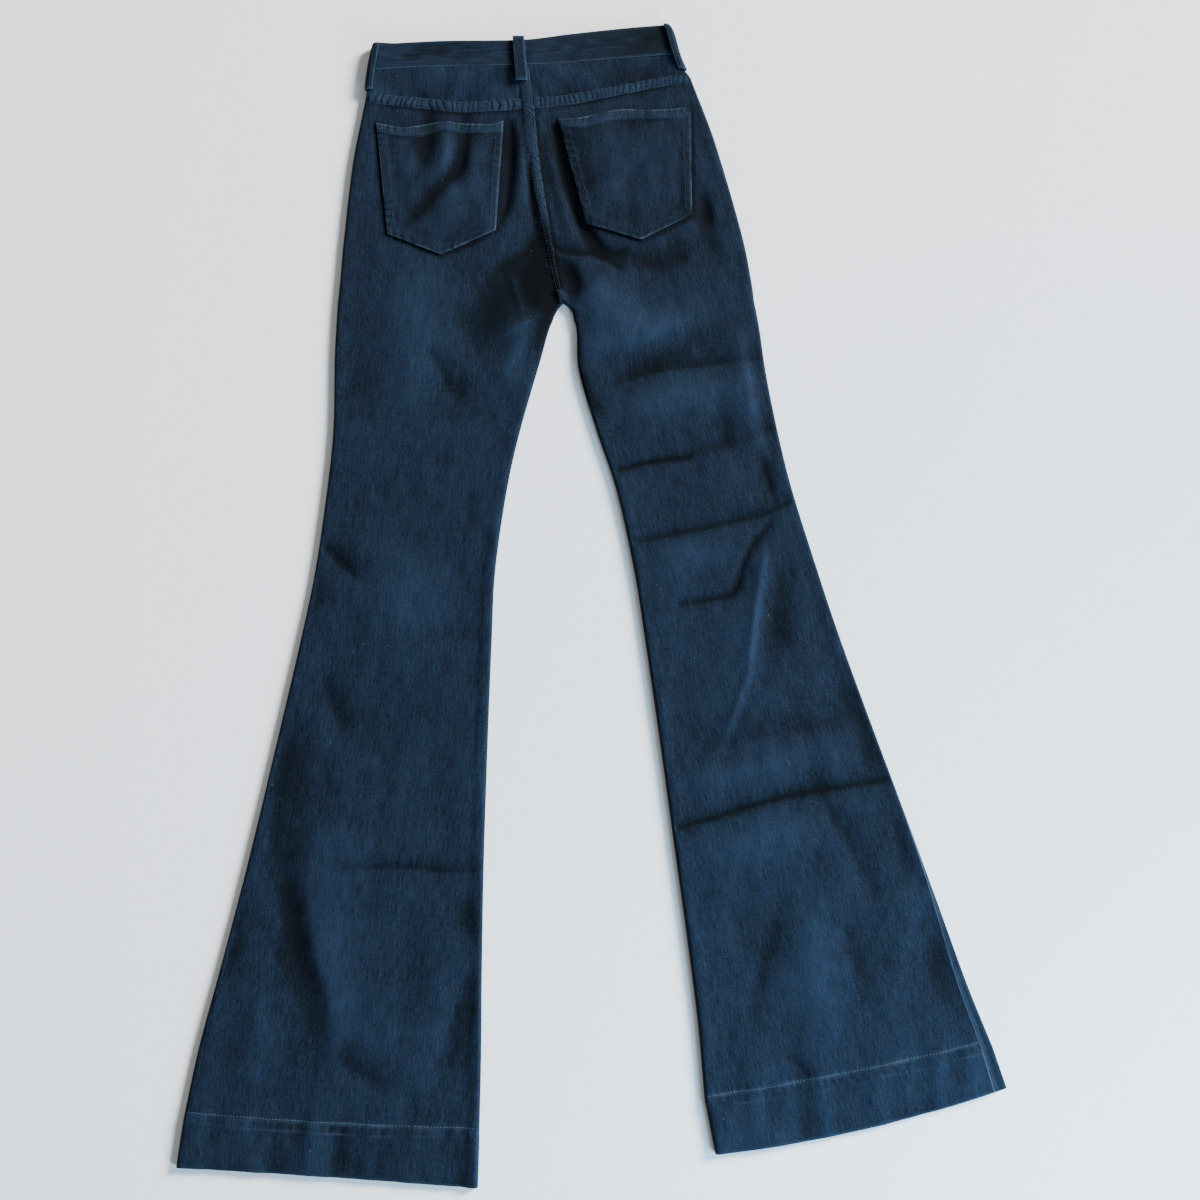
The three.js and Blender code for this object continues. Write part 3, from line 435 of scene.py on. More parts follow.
def panelPoints(rows, panel):
    # the outer face of a panel: rows down the leg, columns from the outer seam to the inner one
    column = {key: values[:, None] for key, values in rows.items()}
    spanX, spanY = column["innerX"] - column["outerX"], column["innerY"] - column["outerY"]
    length = np.hypot(spanX, spanY)
    alongX, alongY = spanX / length, spanY / length
    over = 1 if panel["face"] == "back" else -1
    top = backPlain(column["outerX"], column["outerY"])
    under = frontFace(column["outerX"], column["outerY"])
    crease = under + lie["creaseShare"] * (top - under)
    crotchY = seams["centreY"][0]
    rise = np.clip((column["innerY"] - crotchY) / lie["crotchRound"], 0, 1)
    roundness = np.where(column["innerY"] > crotchY, 1 - np.sqrt(1 - (1 - rise) ** 2), 1)
    quarter = (math.pi / 2) * ((top - crease) if over > 0 else (crease - under))
    roll = np.maximum(column["roll"], 0)

    edge = np.linspace(0, 1, panel["edgeColumns"] + 1)[None, :]
    outerEnd = np.maximum(quarter, roll + 3) if over > 0 else -quarter
    outerWalk = (roll + over * seamGap / 2) * (1 - edge) + outerEnd * edge
    outerInset, outerTurn = roundCrease(outerWalk, top, crease, under)

    back = edge[:, ::-1]
    innerWalk = (seamGap / 2) * (1 - back) + quarter * back
    roundInset, roundTurn = roundCrease(over * innerWalk, top, crease, under)
    lap = panel.get("lap", 0) * ramp(column["innerY"], lie["flyBottom"], lie["flyBottom"] + 15)
    flatInset = innerWalk - lap * (1 - back)
    innerInset = flatInset + (roundInset - flatInset) * roundness
    innerTurn = math.pi / 2 + (roundTurn - math.pi / 2) * roundness

    middle = np.linspace(0, 1, panel["middleColumns"] + 1)[None, 1:-1]
    first, last = outerInset[:, -1:], length - innerInset[:, :1]
    middleInset = first + (last - first) * middle
    inset = np.concatenate([outerInset, middleInset, length - innerInset], 1)
    turn = np.concatenate([outerTurn, np.full_like(middleInset, math.pi / 2), innerTurn], 1)
    upper = np.concatenate([outerWalk > 0, np.full_like(middleInset, over > 0, bool),
                            np.full_like(innerInset, over > 0, bool)], 1)

    t = inset / length
    x = column["outerX"] + alongX * inset
    y = column["outerY"] + alongY * inset - column["sag"] * 4 * t * (1 - t)
    y = panel["bend"](x, y, column)
    toInner = np.where(roundness > 0, length - inset, 1e3)
    fade = ramp(np.minimum(inset, toInner), 0, lie["foldFade"])
    high = backFace(x, y, fade)
    low = frontFace(x, y) + (flyLift(x, y) if panel.get("lifted") else 0)
    face = np.where(upper, high, low)
    detail = panel["detail"](inset, length - inset, roundness, x, y, column) if "detail" in panel else 0
    z = crease + (face + detail * np.sin(turn) - crease) * np.sin(turn)
    points = np.stack([x, y, z], -1)

    # the grain runs along the leg: across is the walk over the cloth, down the walk of its middle
    across = overCloth(points)
    across = across - across[:, -1:] / 2
    centre = points[:, points.shape[1] // 2]
    down = fromStart(np.linalg.norm(np.diff(centre, axis=0), axis=1))
    grain = np.stack([across, np.broadcast_to(down[:, None], across.shape)], -1)
    # painted shading from the folds: painted shade in the troughs, painted highlight on the ridges
    hollow = np.where(upper, np.clip(fade * foldSum(x, y) / lie["foldShade"], -1.5, 1), 0)
    return points, grain, hollow


def bendTo(edge, rows):
    # bends the top of a panel to the curve of its edge, dying out down the panel
    first = {key: values[0] for key, values in rows.items()}

    def bend(x, y, column):
        t = (x - first["outerX"]) / (first["innerX"] - first["outerX"])
        chord = first["outerY"] + (first["innerY"] - first["outerY"]) * t
        fade = 1 - ramp(first["outerY"] - column["outerY"], 0, lie["bendReach"])
        return y + fade * (edge(x) - seamGap / 2 - chord)
    return bend


def pick(piece):
    bpy.ops.object.select_all(action="DESELECT")
    piece.select_set(True)
    bpy.context.view_layer.objects.active = piece


def finishWith(piece, kind, **settings):
    # adds one modifier and applies it
    pick(piece)
    bpy.ops.object.modifier_add(type=kind)
    modifier = piece.modifiers[-1]
    for key, value in settings.items():
        setattr(modifier, key, value)
    bpy.ops.object.modifier_apply(modifier=modifier.name)


def sheetOf(name, points, grain, values, wall, material, outward, wallShare=None):
    # a sheet of cloth: a grid primitive moved onto its points, then given its wall
    rows, columns = points.shape[:2]
    bpy.ops.object.select_all(action="DESELECT")
    bpy.ops.mesh.primitive_grid_add(x_subdivisions=columns - 1, y_subdivisions=rows - 1, size=1)
    piece = bpy.context.object
    piece.name = piece.data.name = name
    mesh = piece.data
    start = np.empty(len(mesh.vertices) * 3)
    mesh.vertices.foreach_get("co", start)
    start = start.reshape(-1, 3)
    j = np.rint((start[:, 0] + 0.5) * (columns - 1)).astype(int)
    i = np.rint((0.5 - start[:, 1]) * (rows - 1)).astype(int)
    placed = points[i, j] * mm + np.array([shift[0], shift[1], 0])
    mesh.vertices.foreach_set("co", placed.ravel())
    mesh.update()
    corners = np.empty(len(mesh.loops), int)
    mesh.loops.foreach_get("vertex_index", corners)
    layer = mesh.uv_layers[0] if mesh.uv_layers else mesh.uv_layers.new()
    layer.name = "grain"
    layer.data.foreach_set("uv", (grain[i, j] * mm)[corners].ravel())
    for key, value in values.items():
        spread = np.broadcast_to(value, points.shape[:2])[i, j].astype(np.float32)
        mesh.attributes.new(key, "FLOAT", "POINT").data.foreach_set("value", spread)
    middle = mesh.polygons[(rows // 2) * (columns - 1) + columns // 2]
    if middle.normal.dot(Vector(outward)) < 0:
        mesh.flip_normals()
    mesh.materials.append(material)
    settings = {"thickness": wall * mm, "offset": -1, "use_even_offset": False}
    if wallShare is not None:
        settings["vertex_group"] = "wall"
        group = piece.vertex_groups.new(name="wall")
        share = np.round(np.broadcast_to(wallShare, points.shape[:2])[i, j], 2)
        for level in np.unique(share):
            group.add(np.nonzero(share == level)[0].tolist(), float(level), "REPLACE")
    finishWith(piece, "SOLIDIFY", **settings)
    pick(piece)
    bpy.ops.object.shade_smooth_by_angle(angle=math.radians(50))
    return piece


def own(piece, node=None):
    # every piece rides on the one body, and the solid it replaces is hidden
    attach(piece, "root")
    if node:
        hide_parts(node)
    return piece


class Wire:
    # a socket that takes part in sums
    def __init__(self, cloth, socket):
        self.cloth = cloth
        self.socket = socket

    def __add__(self, other):
        return self.cloth.sum("ADD", self, other)

    def __radd__(self, other):
        return self.cloth.sum("ADD", other, self)

    def __sub__(self, other):
        return self.cloth.sum("SUBTRACT", self, other)

    def __rsub__(self, other):
        return self.cloth.sum("SUBTRACT", other, self)

    def __mul__(self, other):
        return self.cloth.sum("MULTIPLY", self, other)

    def __rmul__(self, other):
        return self.cloth.sum("MULTIPLY", other, self)

    def __gt__(self, other):
        return self.cloth.sum("GREATER_THAN", self, other)

    def sine(self):
        return self.cloth.sum("SINE", self)


class Finish:
    # one material, with a method for any node
    def __init__(self, name):
        self.material = bpy.data.materials.new(name)
        self.material.use_nodes = True
        self.tree = self.material.node_tree
        self.shader = self.tree.nodes["Principled BSDF"]

    def link(self, socket, value):
        if isinstance(value, Wire):
            self.tree.links.new(value.socket, socket)
        else:
            socket.default_value = value

    def node(self, kind, settings, inputs, output=0):
        made = self.tree.nodes.new(kind)
        for key, value in settings.items():
            setattr(made, key, value)
        for key, value in inputs.items():
            self.link(made.inputs[key], value)
        return Wire(self, made.outputs[output])

    def sum(self, operation, *values):
        return self.node("ShaderNodeMath", {"operation": operation}, dict(enumerate(values)))

    def mix(self, factor, first, second):
        return self.node("ShaderNodeMix", {"data_type": "RGBA"}, {0: factor, 6: first, 7: second}, 2)

    def clampTo(self, value, low, high):
        return self.node("ShaderNodeClamp", {}, {0: value, 1: low, 2: high})

    def place(self, x, y, z):
        return self.node("ShaderNodeCombineXYZ", {}, {0: x, 1: y, 2: z})

    def noise(self, vector, detail, rough=0.5):
        inputs = {"Vector": vector, "Scale": 1.0, "Detail": detail, "Roughness": rough}
        return self.node("ShaderNodeTexNoise", {"noise_dimensions": "3D"}, inputs)

    def mottle(self, scale, detail):
        # noise in the object's own place
        where = self.node("ShaderNodeTexCoord", {}, {}, 3)
        scaled = self.node("ShaderNodeVectorMath", {"operation": "SCALE"}, {0: where, "Scale": scale})
        return self.noise(scaled, detail)

    def bump(self, height, strength, distance):
        return self.node("ShaderNodeBump", {}, {"Strength": strength, "Distance": distance, "Height": height})

    def attribute(self, name):
        return self.node("ShaderNodeAttribute", {"attribute_name": name}, {}, 2)

    def surface(self, **inputs):
        for key, value in inputs.items():
            self.link(self.shader.inputs[key.replace("_", " ")], value)
        return self.material


# What the denim looks like: linear colours, and the sizes of its streaks and twill in metres
denimLook = {
    # the colour of painted shadow in the deepest folds
    "paintedShadow": (0.0006, 0.0011, 0.0018, 1),
    "deep": (0.0016, 0.0034, 0.0062, 1),
    "pale": (0.0156, 0.0306, 0.0605, 1),
    "worn": (0.04, 0.066, 0.1, 1),
    "lint": (0.14, 0.18, 0.23, 1),
    "streakWide": 0.0012,
    "streakLong": 0.016,
    "fleck": (0.0009, 0.0036),
    "weftLong": 0.011,
    "bandWide": 0.006,
    "bandLong": 0.16,
    "twillPitch": 0.0011,
    "lintCell": (0.011, 0.019),
    "cloud": 16.0,
    "sheen": (0.45, 0.62, 0.85, 1),
    "rough": 0.86,
    "wearTo": 0.75,
}


def denim(name, lift=0.0, streaky=1.0):
    look = denimLook
    cloth = Finish(name)
    grain = cloth.node("ShaderNodeUVMap", {"uv_map": "grain"}, {})
    across = cloth.node("ShaderNodeSeparateXYZ", {}, {0: grain})
    down = Wire(cloth, across.socket.node.outputs[1])

    def onGrain(wide, long, offset):
        return cloth.place(across * (1 / wide), down * (1 / long), offset)

    streak = cloth.noise(onGrain(look["streakWide"], look["streakLong"], 0.0), 3.0, 0.6)
    broad = cloth.noise(onGrain(look["bandWide"], look["bandLong"], 4.0), 2.0)
    fleck = cloth.noise(onGrain(*look["fleck"], 9.0), 2.0, 0.7)
    weftTone = cloth.noise(onGrain(look["weftLong"], look["fleck"][0], 2.0), 2.0)
    cloud = cloth.mottle(look["cloud"], 3.0)
    twill = ((across * 1.0 + down * 0.62) * (2 * math.pi / look["twillPitch"])).sine()
    weft = ((across * 0.3 - down * 1.0) * (2 * math.pi / (look["twillPitch"] * 1.7))).sine()
    # painted shading: the cloth is painted darker in folds, creases and under edges, down to near black, and
    # paler on ridges
    hollow = cloth.attribute("hollow")
    tone = lift - 0.5 + (streak - 0.5) * streaky + fleck * 0.85 + weftTone * 0.3
    tone = tone + broad * 0.24 + cloud * 0.16 + hollow * 0.34 + twill * 0.03
    base = cloth.mix(cloth.clampTo(tone, 0.0, 1.0), look["deep"], look["pale"])
    base = cloth.mix(cloth.clampTo(-0.2 - hollow * 0.72, 0.0, 0.88), base, look["paintedShadow"])
    rub = cloth.clampTo(cloth.attribute("wear") * (streak * 1.1 + cloud * 0.9 - 0.35), 0.0, look["wearTo"])
    base = cloth.mix(rub, base, look["worn"])
    cells = {"Vector": onGrain(*look["lintCell"], 7.0), "Scale": 1.0}
    lint = cloth.node("ShaderNodeTexVoronoi", {"feature": "F1"}, cells)
    speck = cloth.clampTo((0.04 - lint) * 30.0, 0.0, 1.0) * (cloud > 0.54) * 0.6
    base = cloth.mix(speck, base, look["lint"])
    bump = cloth.bump(streak * 0.5 + twill * 0.22 + weft * 0.12, 0.55, 0.00035)
    cloth.shader.inputs["Sheen Tint"].default_value = look["sheen"]
    return cloth.surface(Base_Color=base, Roughness=look["rough"], Normal=bump, Sheen_Weight=0.035,
                         Sheen_Roughness=0.45, Specular_IOR_Level=0.07)


def darker(colour, share):
    return tuple(c * share for c in colour[:3]) + (1,)


def thread(name, colour):
    cloth = Finish(name)
    fuzz = cloth.mottle(900.0, 2.0)
    base = cloth.mix(fuzz, darker(colour, 0.6), colour)
    bump = cloth.bump(fuzz, 0.5, 0.0001)
    return cloth.surface(Base_Color=base, Roughness=0.7, Normal=bump, Specular_IOR_Level=0.2)


def agedBrass(name):
    metal = Finish(name)
    spots = metal.mottle(420.0, 4.0)
    base = metal.mix(spots, (0.32, 0.24, 0.15, 1), (0.14, 0.11, 0.08, 1))
    bump = metal.bump(spots, 0.25, 0.0001)
    return metal.surface(Base_Color=base, Roughness=0.38 + spots * 0.2, Metallic=1.0, Normal=bump)


legDenim = denim("leg_denim")
bandDenim = denim("band_denim", lift=-0.05, streaky=0.45)
pocketDenim = denim("pocket_denim", lift=-0.02, streaky=0.8)
seamDenim = denim("seam_denim", lift=0.05)
darkThread = thread("dark_thread", (0.009, 0.018, 0.032, 1))
paleThread = thread("pale_thread", (0.09, 0.122, 0.155, 1))
print("materials made")

# The leg panels: how fine they are, their hems and the seam allowances that show through
legs = {
    "spacing": 2.1,
    "edgeColumns": 6,
    "middleColumns": 72,
    "frontSpacing": 7.5,
    "frontMiddle": 30,
    "frontEdge": 8,
    "frontWaist": 8,
    "allowance": 10.5,
    "allowanceRise": 1.1,
    "hemRise": 0.7,
    "hemTuck": 10,
    "ropePitch": 6.4,
    "hemWide": 280,
    "pucker": 0.28,
    "puckerReach": 13,
    "seamWave": 11,
    "seatWave": 6.3,
}


def stitchDrop(away, deep=0.45, wide=1.3):
    return -deep * bell(away, wide)


def hemSwells(x, y, seed):
    # where the turned-up edge shows, the twist of the hem and its small pleats
    tuck = legs["hemTuck"] + 0.8 * swells(x, y, seed + 3, 60, 6)
    rope = ripple(x, legs["ropePitch"], 2.4 * swells(x, y, seed + 7, 36, 8))
    return tuck, rope, swells(x, y * 0.22, seed + 1, 30, 14)


def legDetail(cut, hemPlace, seed):
    # seam allowances, seam puckers, and the turned-up hem
    def detail(inset, toInner, roundness, x, y, column):
        rise = legs["allowanceRise"]
        ragged = legs["allowance"] + 0.9 * swells(x, y, seed + 2, 34, 8)
        outer = 0.3 * rise * (1 - ramp(inset, ragged - 1.5, ragged + 1.8))
        firm = roundness * ramp(-y, -260, 60) * cut["seamFirm"]
        inner = firm * rise * (1 - ramp(toInner, ragged - 1.5, ragged + 1.8))
        along = column["down"]
        pull = bell(inset, legs["puckerReach"]) + bell(toInner, legs["puckerReach"])
        wave = ripple(along, legs["seamWave"], 2.2 * swells(x, y, seed, 46, 8))
        fine = ripple(along, legs["seatWave"], 1.4 * swells(x, y, seed + 6, 30, 8))
        wave = wave + 1.2 * fine * (1 - roundness)
        seat = 0.6 + 0.7 * (1 - roundness) * (toInner < 30)
        pucker = legs["pucker"] * pull * wave * seat
        rounded = -0.35 * bell(inset, 0.9) - 0.35 * bell(toInner, 0.9)
        below = along - hemPlace
        tuck, rope, pleat = hemSwells(x, y, seed)
        hem = legs["hemRise"] * ramp(below, 0.2, 2.6) + stitchDrop(below) + 0.45 * bell(below - tuck, 1.8)
        hem = hem + 0.5 * rope * bell(below - 5, 6) * np.clip(swells(x, y, seed + 8, 50, 6) + 0.6, 0, 1.5)
        hem = hem + (0.55 * np.exp(-np.abs(below + 2) / 16) + 0.5 * ramp(below, 0, 8)) * pleat
        hem = hem - 0.8 * bell(column["down"][-1, 0] - along, 1.1)
        return outer + inner + pucker + rounded + hem
    return detail


def addDown(rows):
    # the walk down the leg's middle at each section
    midX = (rows["outerX"] + rows["innerX"]) / 2
    midY = (rows["outerY"] + rows["innerY"]) / 2
    rows["down"] = fromStart(np.hypot(np.diff(midX), np.diff(midY)))
    return rows


def waistRows(cut, innerX, innerY, count):
    # sections between the band and the yoke seam, from the band down
    share = np.linspace(0, 1, count + 1)
    rows = {"outerY": cut["bandFoot"] + (cut["outerY"][0] - cut["bandFoot"]) * share}
    rows["outerX"] = sideEdge(cut, rows["outerY"])
    rows["innerX"] = innerX + (cut["innerX"][0] - innerX) * share
    rows["innerY"] = innerY + (cut["innerY"][0] - innerY) * share
    rows["sag"] = rows["roll"] = np.zeros(count + 1)
    rows["place"] = share - 1
    return rows


def thickenHem(rows):
    # the wall's share of its full thickness, doubled in the hem
    share = np.interp(rows["place"], [hemRow, hemRow + 0.2], [denimWall / hemWall, 1])
    return share[:, None]


def makeBackLeg(name, cut, seed):
    rows = addDown(sectionsOf(cut, legs["spacing"]))
    hemPlace = np.interp(hemRow, rows["place"], rows["down"])
    panel = {"face": "back", "edgeColumns": legs["edgeColumns"], "middleColumns": legs["middleColumns"],
             "bend": bendTo(yokeSeam, rows), "detail": legDetail(cut, hemPlace, seed)}
    points, grain, hollow = panelPoints(rows, panel)
    x, y = points[..., 0], points[..., 1]
    below = rows["down"][:, None] - hemPlace
    tuck, rope, pleat = hemSwells(x, y, seed)
    rubbed = np.clip(0.45 + 0.5 * swells(x, y, seed + 4, 30, 8), 0, 1)
    wear = 0.1 * (columnsIn(points) < 3) + 0.5 * bell(rows["down"] - rows["down"][-1], 1.5)[:, None]
    wear = wear + 0.3 * rubbed * bell(below - tuck, 1.1) + 0.5 * rubbed * bell(below, 1.6)
    outerColumns = np.arange(points.shape[1])[None, :] < 3
    wear = wear + (rows["roll"][:, None] > 1) * outerColumns * 1.2
    # painted shade and highlight on the hem's pleats and twists, and the painted shading towards the hem
    hollow = hollow + 0.3 * pleat * ramp(below, -4, 3) + 0.55 * rope * bell(below - 4.5, 4) * rubbed
    hollow = hollow + cut["footShade"] * ramp(-y, 230, 420)
    values = {"hollow": hollow, "wear": np.clip(wear, 0, 1.4)}
    return sheetOf(name, points, grain, values, hemWall, legDenim, (0, 0, 1), thickenHem(rows))


def makeFrontLeg(name, cut):
    above = waistRows(cut, lie["centreFront"], lie["frontDip"], legs["frontWaist"])
    below = sectionsOf(cut, legs["frontSpacing"])
    rows = addDown({key: np.concatenate([above[key][:-1], below[key]]) for key in below})
    overlaps = cut["way"] < 0
    panel = {"face": "front", "edgeColumns": legs["frontEdge"], "middleColumns": legs["frontMiddle"],
             "lap": lie["flyLap"] if overlaps else lie["flyUnderlap"], "lifted": not overlaps,
             "bend": bendTo(frontSeam, rows)}
    points, grain, _ = panelPoints(rows, panel)
    # shallow creases under the front, where it lifts off the surface a little
    x, y = points[..., 0], points[..., 1]
    inner = columnsIn(points)
    inland = ramp(inner, legs["frontEdge"], legs["frontEdge"] + 4)
    crease = np.clip(0.75 * swells(x, y, 31, 44, lean=1.8) - 0.3, 0, 1.1)
    points[..., 2] += crease * inland * (y < 470) * ramp(y, -560, -540)
    pastHem = rows["down"] - np.interp(hemRow, rows["place"], rows["down"])
    points[..., 2] += inland * 0.3 * bell(pastHem, 1.6)[:, None]
    # painted shade in those creases
    values = {"hollow": -0.4 * crease * inland, "wear": 0.35 * (inner < 2)}
    return sheetOf(name, points, grain, values, hemWall, legDenim, (0, 0, -1), thickenHem(rows))


backLeft = makeBackLeg("back_leg_left_cloth", leftCut, 11)
backRight = makeBackLeg("back_leg_right_cloth", rightCut, 12)
own(backLeft, "back_leg_left")
own(backRight, "back_leg_right")
frontLeft = makeFrontLeg("front_leg_left_cloth", leftCut)
frontRight = makeFrontLeg("front_leg_right_cloth", rightCut)
own(frontLeft, "front_leg_left")
own(frontRight, "front_leg_right")
print("legs made")

# The yokes, between the band and the yoke seam
yokes = {"rows": 22, "edgeColumns": 6, "middleColumns": 96, "centre": -73, "pucker": 0.35, "wave": 9}


def loopShade(x):
    # painted shade on both sides of the belt loop at the back
    return -1.0 * bell(x + 86.5, 3.6) - 0.5 * bell(x + 66, 2.4)


def makeYoke(name, cut):
    rows = waistRows(cut, yokes["centre"], float(backSeam(yokes["centre"])), yokes["rows"])
    rows["share"] = rows["place"] + 1
    rows = addDown(rows)

    def bend(x, y, column):
        high = backSeam(x) - seamGap / 2
        low = yokeSeam(x) + seamGap / 2
        return high + (low - high) * column["share"]

    def detail(inset, toInner, roundness, x, y, column):
        wave = ripple(x, yokes["wave"], 2.0 * swells(x, y, 21, 40, 8))
        pull = 0.35 * bell(backSeam(x) - y, 7) + bell(y - yokeSeam(x), 9) + bell(toInner, 9)
        return yokes["pucker"] * pull * wave + 0.35 * swells(x, y, 22, 30, 12)

    panel = {"face": "back", "edgeColumns": yokes["edgeColumns"], "middleColumns": yokes["middleColumns"],
             "bend": bend, "detail": detail}
    points, grain, hollow = panelPoints(rows, panel)
    x, y = points[..., 0], points[..., 1]
    # painted shading: paler and darker swells, painted shade towards the right and beside the loop
    shade = 0.16 + 0.3 * swells(x, y, 24, 60, 10) - 0.52 * ramp(x, -60, 40)
    shade = shade + loopShade(x) * ramp(y, 508, 518)
    values = {"hollow": hollow * 0.8 + shade, "wear": 0.1 * (columnsIn(points) < 3)}
    return sheetOf(name, points, grain, values, denimWall, legDenim, (0, 0, 1))


yokeLeft = makeYoke("yoke_left_cloth", leftCut)
yokeRight = makeYoke("yoke_right_cloth", rightCut)
own(yokeLeft, "yoke_left")
own(yokeRight, "yoke_right")
print("yokes made")

# The waistband: one doubled strip all the way round, lapped at the centre front. Its height at each
# side, the columns of each stretch, and the creases in its back.
waist = {
    "rows": 16,
    "turnSteps": 12,
    "front": 60,
    "back": 150,
    "frontRight": 70,
    "lap": 20,
    "lapSlope": 28,
    "leftHigh": 29,
    "rightHigh": 34,
    "faceHigh": 30,
    "stitchIn": 2.4,
    "backRun": (-226, 86),
    "frontRun": (-226, 84),
    "creases": [
        (-0.9, 4, 5, 1.5, [(-200, 548), (-160, 551), (-128, 546)]),
        (-0.8, 4, 4, 1.5, [(-190, 556), (-140, 557), (-110, 553)]),
        (-0.8, 5, 5, 1.5, [(50, 556), (62, 566), (76, 572)]),
    ],
}


def makeBand():
    share = np.linspace(0, 1, waist["rows"] + 1)[:, None]
    radius = (lie["bandSide"] - lie["frontBand"]) / 2
    middle = lie["frontBand"] + radius
    centre = lie["centreFront"]
    leftX = sideEdge(leftCut, leftCut["bandFoot"] + share * waist["leftHigh"])
    rightX = sideEdge(rightCut, rightCut["bandFoot"] + share * waist["rightHigh"])

    def front(x, z):
        return [x, frontSeam(x) + lie["bandHeight"] * share, z + 0 * x, 0 * x, 0 * x - 1]

    def back(x):
        wrinkle = 0.35 * swells(x, 560 * share, 41, 34, 12, lean=2.2) * np.sin(math.pi * share)
        high = backSeam(x) + share * waist["leftHigh"]
        dent = sum(lineFold(x, high, *crease) for crease in waist["creases"])
        top = backSeam(x) + (bandTop(x) - backSeam(x)) * share
        return [x, top, bandFace(x) + wrinkle + dent, 0 * x, 0 * x + 1]

    def turn(edge, side):
        # round the fold at a side of the waist
        part = np.linspace(0, 1, waist["turnSteps"] + 1)[None, :]
        part = part if side < 0 else part[:, ::-1]
        angle = -math.pi / 2 + math.pi * part
        x = edge + side * radius * (np.cos(angle) - 1)
        backY = backSeam(x) + (bandTop(x) - backSeam(x)) * share
        frontY = frontSeam(x) + lie["bandHeight"] * share
        return [x, frontY + (backY - frontY) * part, middle + radius * np.sin(angle) + 0 * x,
                side * np.cos(angle) + 0 * x, np.sin(angle) + 0 * x]

    def spread(start, end, count):
        return start + (end - start) * np.linspace(0, 1, count + 1)[None, 1:-1] + 0 * share

    def lapped(x):
        begin = centre + waist["lap"] + 2
        over = 1 - ramp(x, begin, begin + waist["lapSlope"])
        return front(x, lie["frontBand"] + (bandWall + seamGap) * over)

    stretches = [
        front(spread(centre + waist["lap"] + 0.001, leftX + radius, waist["front"]), lie["frontBand"]),
        turn(leftX, -1),
        back(spread(leftX + radius, rightX - radius, waist["back"])),
        turn(rightX, 1),
        lapped(spread(rightX - radius, centre - waist["lap"], waist["frontRight"])),
    ]
    x, y, z, outX, outZ = (np.concatenate([stretch[k] for stretch in stretches], 1) for k in range(5))
    # soft top and bottom edges, and a dip along each row of edge stitching
    fromEdge = np.minimum(share, 1 - share) * waist["faceHigh"]
    dip = -0.45 * bell(fromEdge, 0.9) + stitchDrop(fromEdge - waist["stitchIn"], 0.3, 0.9)
    points = np.stack([x + outX * dip, y, z + outZ * dip], -1)
    grain = np.stack([share * lie["bandHeight"] + 0 * x, overCloth(points)], -1)
    wear = 0.3 * bell(fromEdge, 1.1) + 0.45 * bell(share * waist["faceHigh"], 1.0) + 0.06
    # painted shading: paler where the band stands high, darker where it dips, painted shade towards the right
    # and beside the loop
    hollow = np.clip((z - bandFace(x)) / 1.2, -1, 1) * (outZ > 0.9)
    hollow = hollow + 0.22 - 0.74 * ramp(x, -90, 60) + loopShade(x)
    values = {"hollow": hollow, "wear": wear}
    return sheetOf("waistband_cloth", points, grain, values, bandWall, bandDenim, (0, 0, 1))


band = makeBand()
own(band, "waistband")
print("waistband made")

# Patch pockets: corners, mouth dip, the margins that are turned under and the rows of stitching
pockets = {
    "left": {
        "topOuter": (-223, 474),
        "topInner": (-92, 477),
        "footInner": (-99, 360),
        "tip": (-155, 334),
        "footOuter": (-210, 356),
        "mouthAt": [0, 0.1, 0.2, 0.3, 0.42, 0.55, 0.7, 0.87, 0.95, 1],
        "mouthDip": [0, 3, 5.2, 4.2, 1, 0.3, 2.4, 4.2, 3, 0],
    },
    "right": {
        "topOuter": (101, 491),
        "topInner": (-35, 478),
        "footInner": (-6, 367),
        "tip": (50, 350),
        "footOuter": (102, 376),
        "mouthAt": [0, 0.12, 0.25, 0.4, 0.52, 0.62, 0.75, 0.87, 1],
        "mouthDip": [0, 0.6, 0, -2.6, -4.4, -3.6, -1.2, 0.6, 0],
    },
    "wide": 131,
    "deep": 140,
    "spacing": 1.7,
    "margin": 9.5,
    "marginRise": 0.45,
    "puff": 0.9,
    "pucker": 0.28,
    "puckerReach": 7,
    "sideWave": 8.5,
    "footWave": 9.5,
    "middleDeep": 125,
    "rows": (2.2, 7.0),
    "mouthRows": (2.2, 9.5),
}


def cornersOf(shape, *names):
    return [np.array(shape[name], float) for name in names]


def pocketPlan(shape, t, r):
    # a place on the pocket: t across its mouth, r from the mouth to the foot
    topOuter, topInner = cornersOf(shape, "topOuter", "topInner")
    footOuter, tip, footInner = cornersOf(shape, "footOuter", "tip", "footInner")
    t, r = t[..., None], r[..., None]
    mouth = topOuter + (topInner - topOuter) * t
    mouth = mouth - np.array([0, 1]) * follow(shape["mouthAt"], shape["mouthDip"], t)
    foot = np.where(t < 0.5, footOuter + (tip - footOuter) * 2 * t, tip + (footInner - tip) * (2 * t - 1))
    return mouth + (foot - mouth) * r


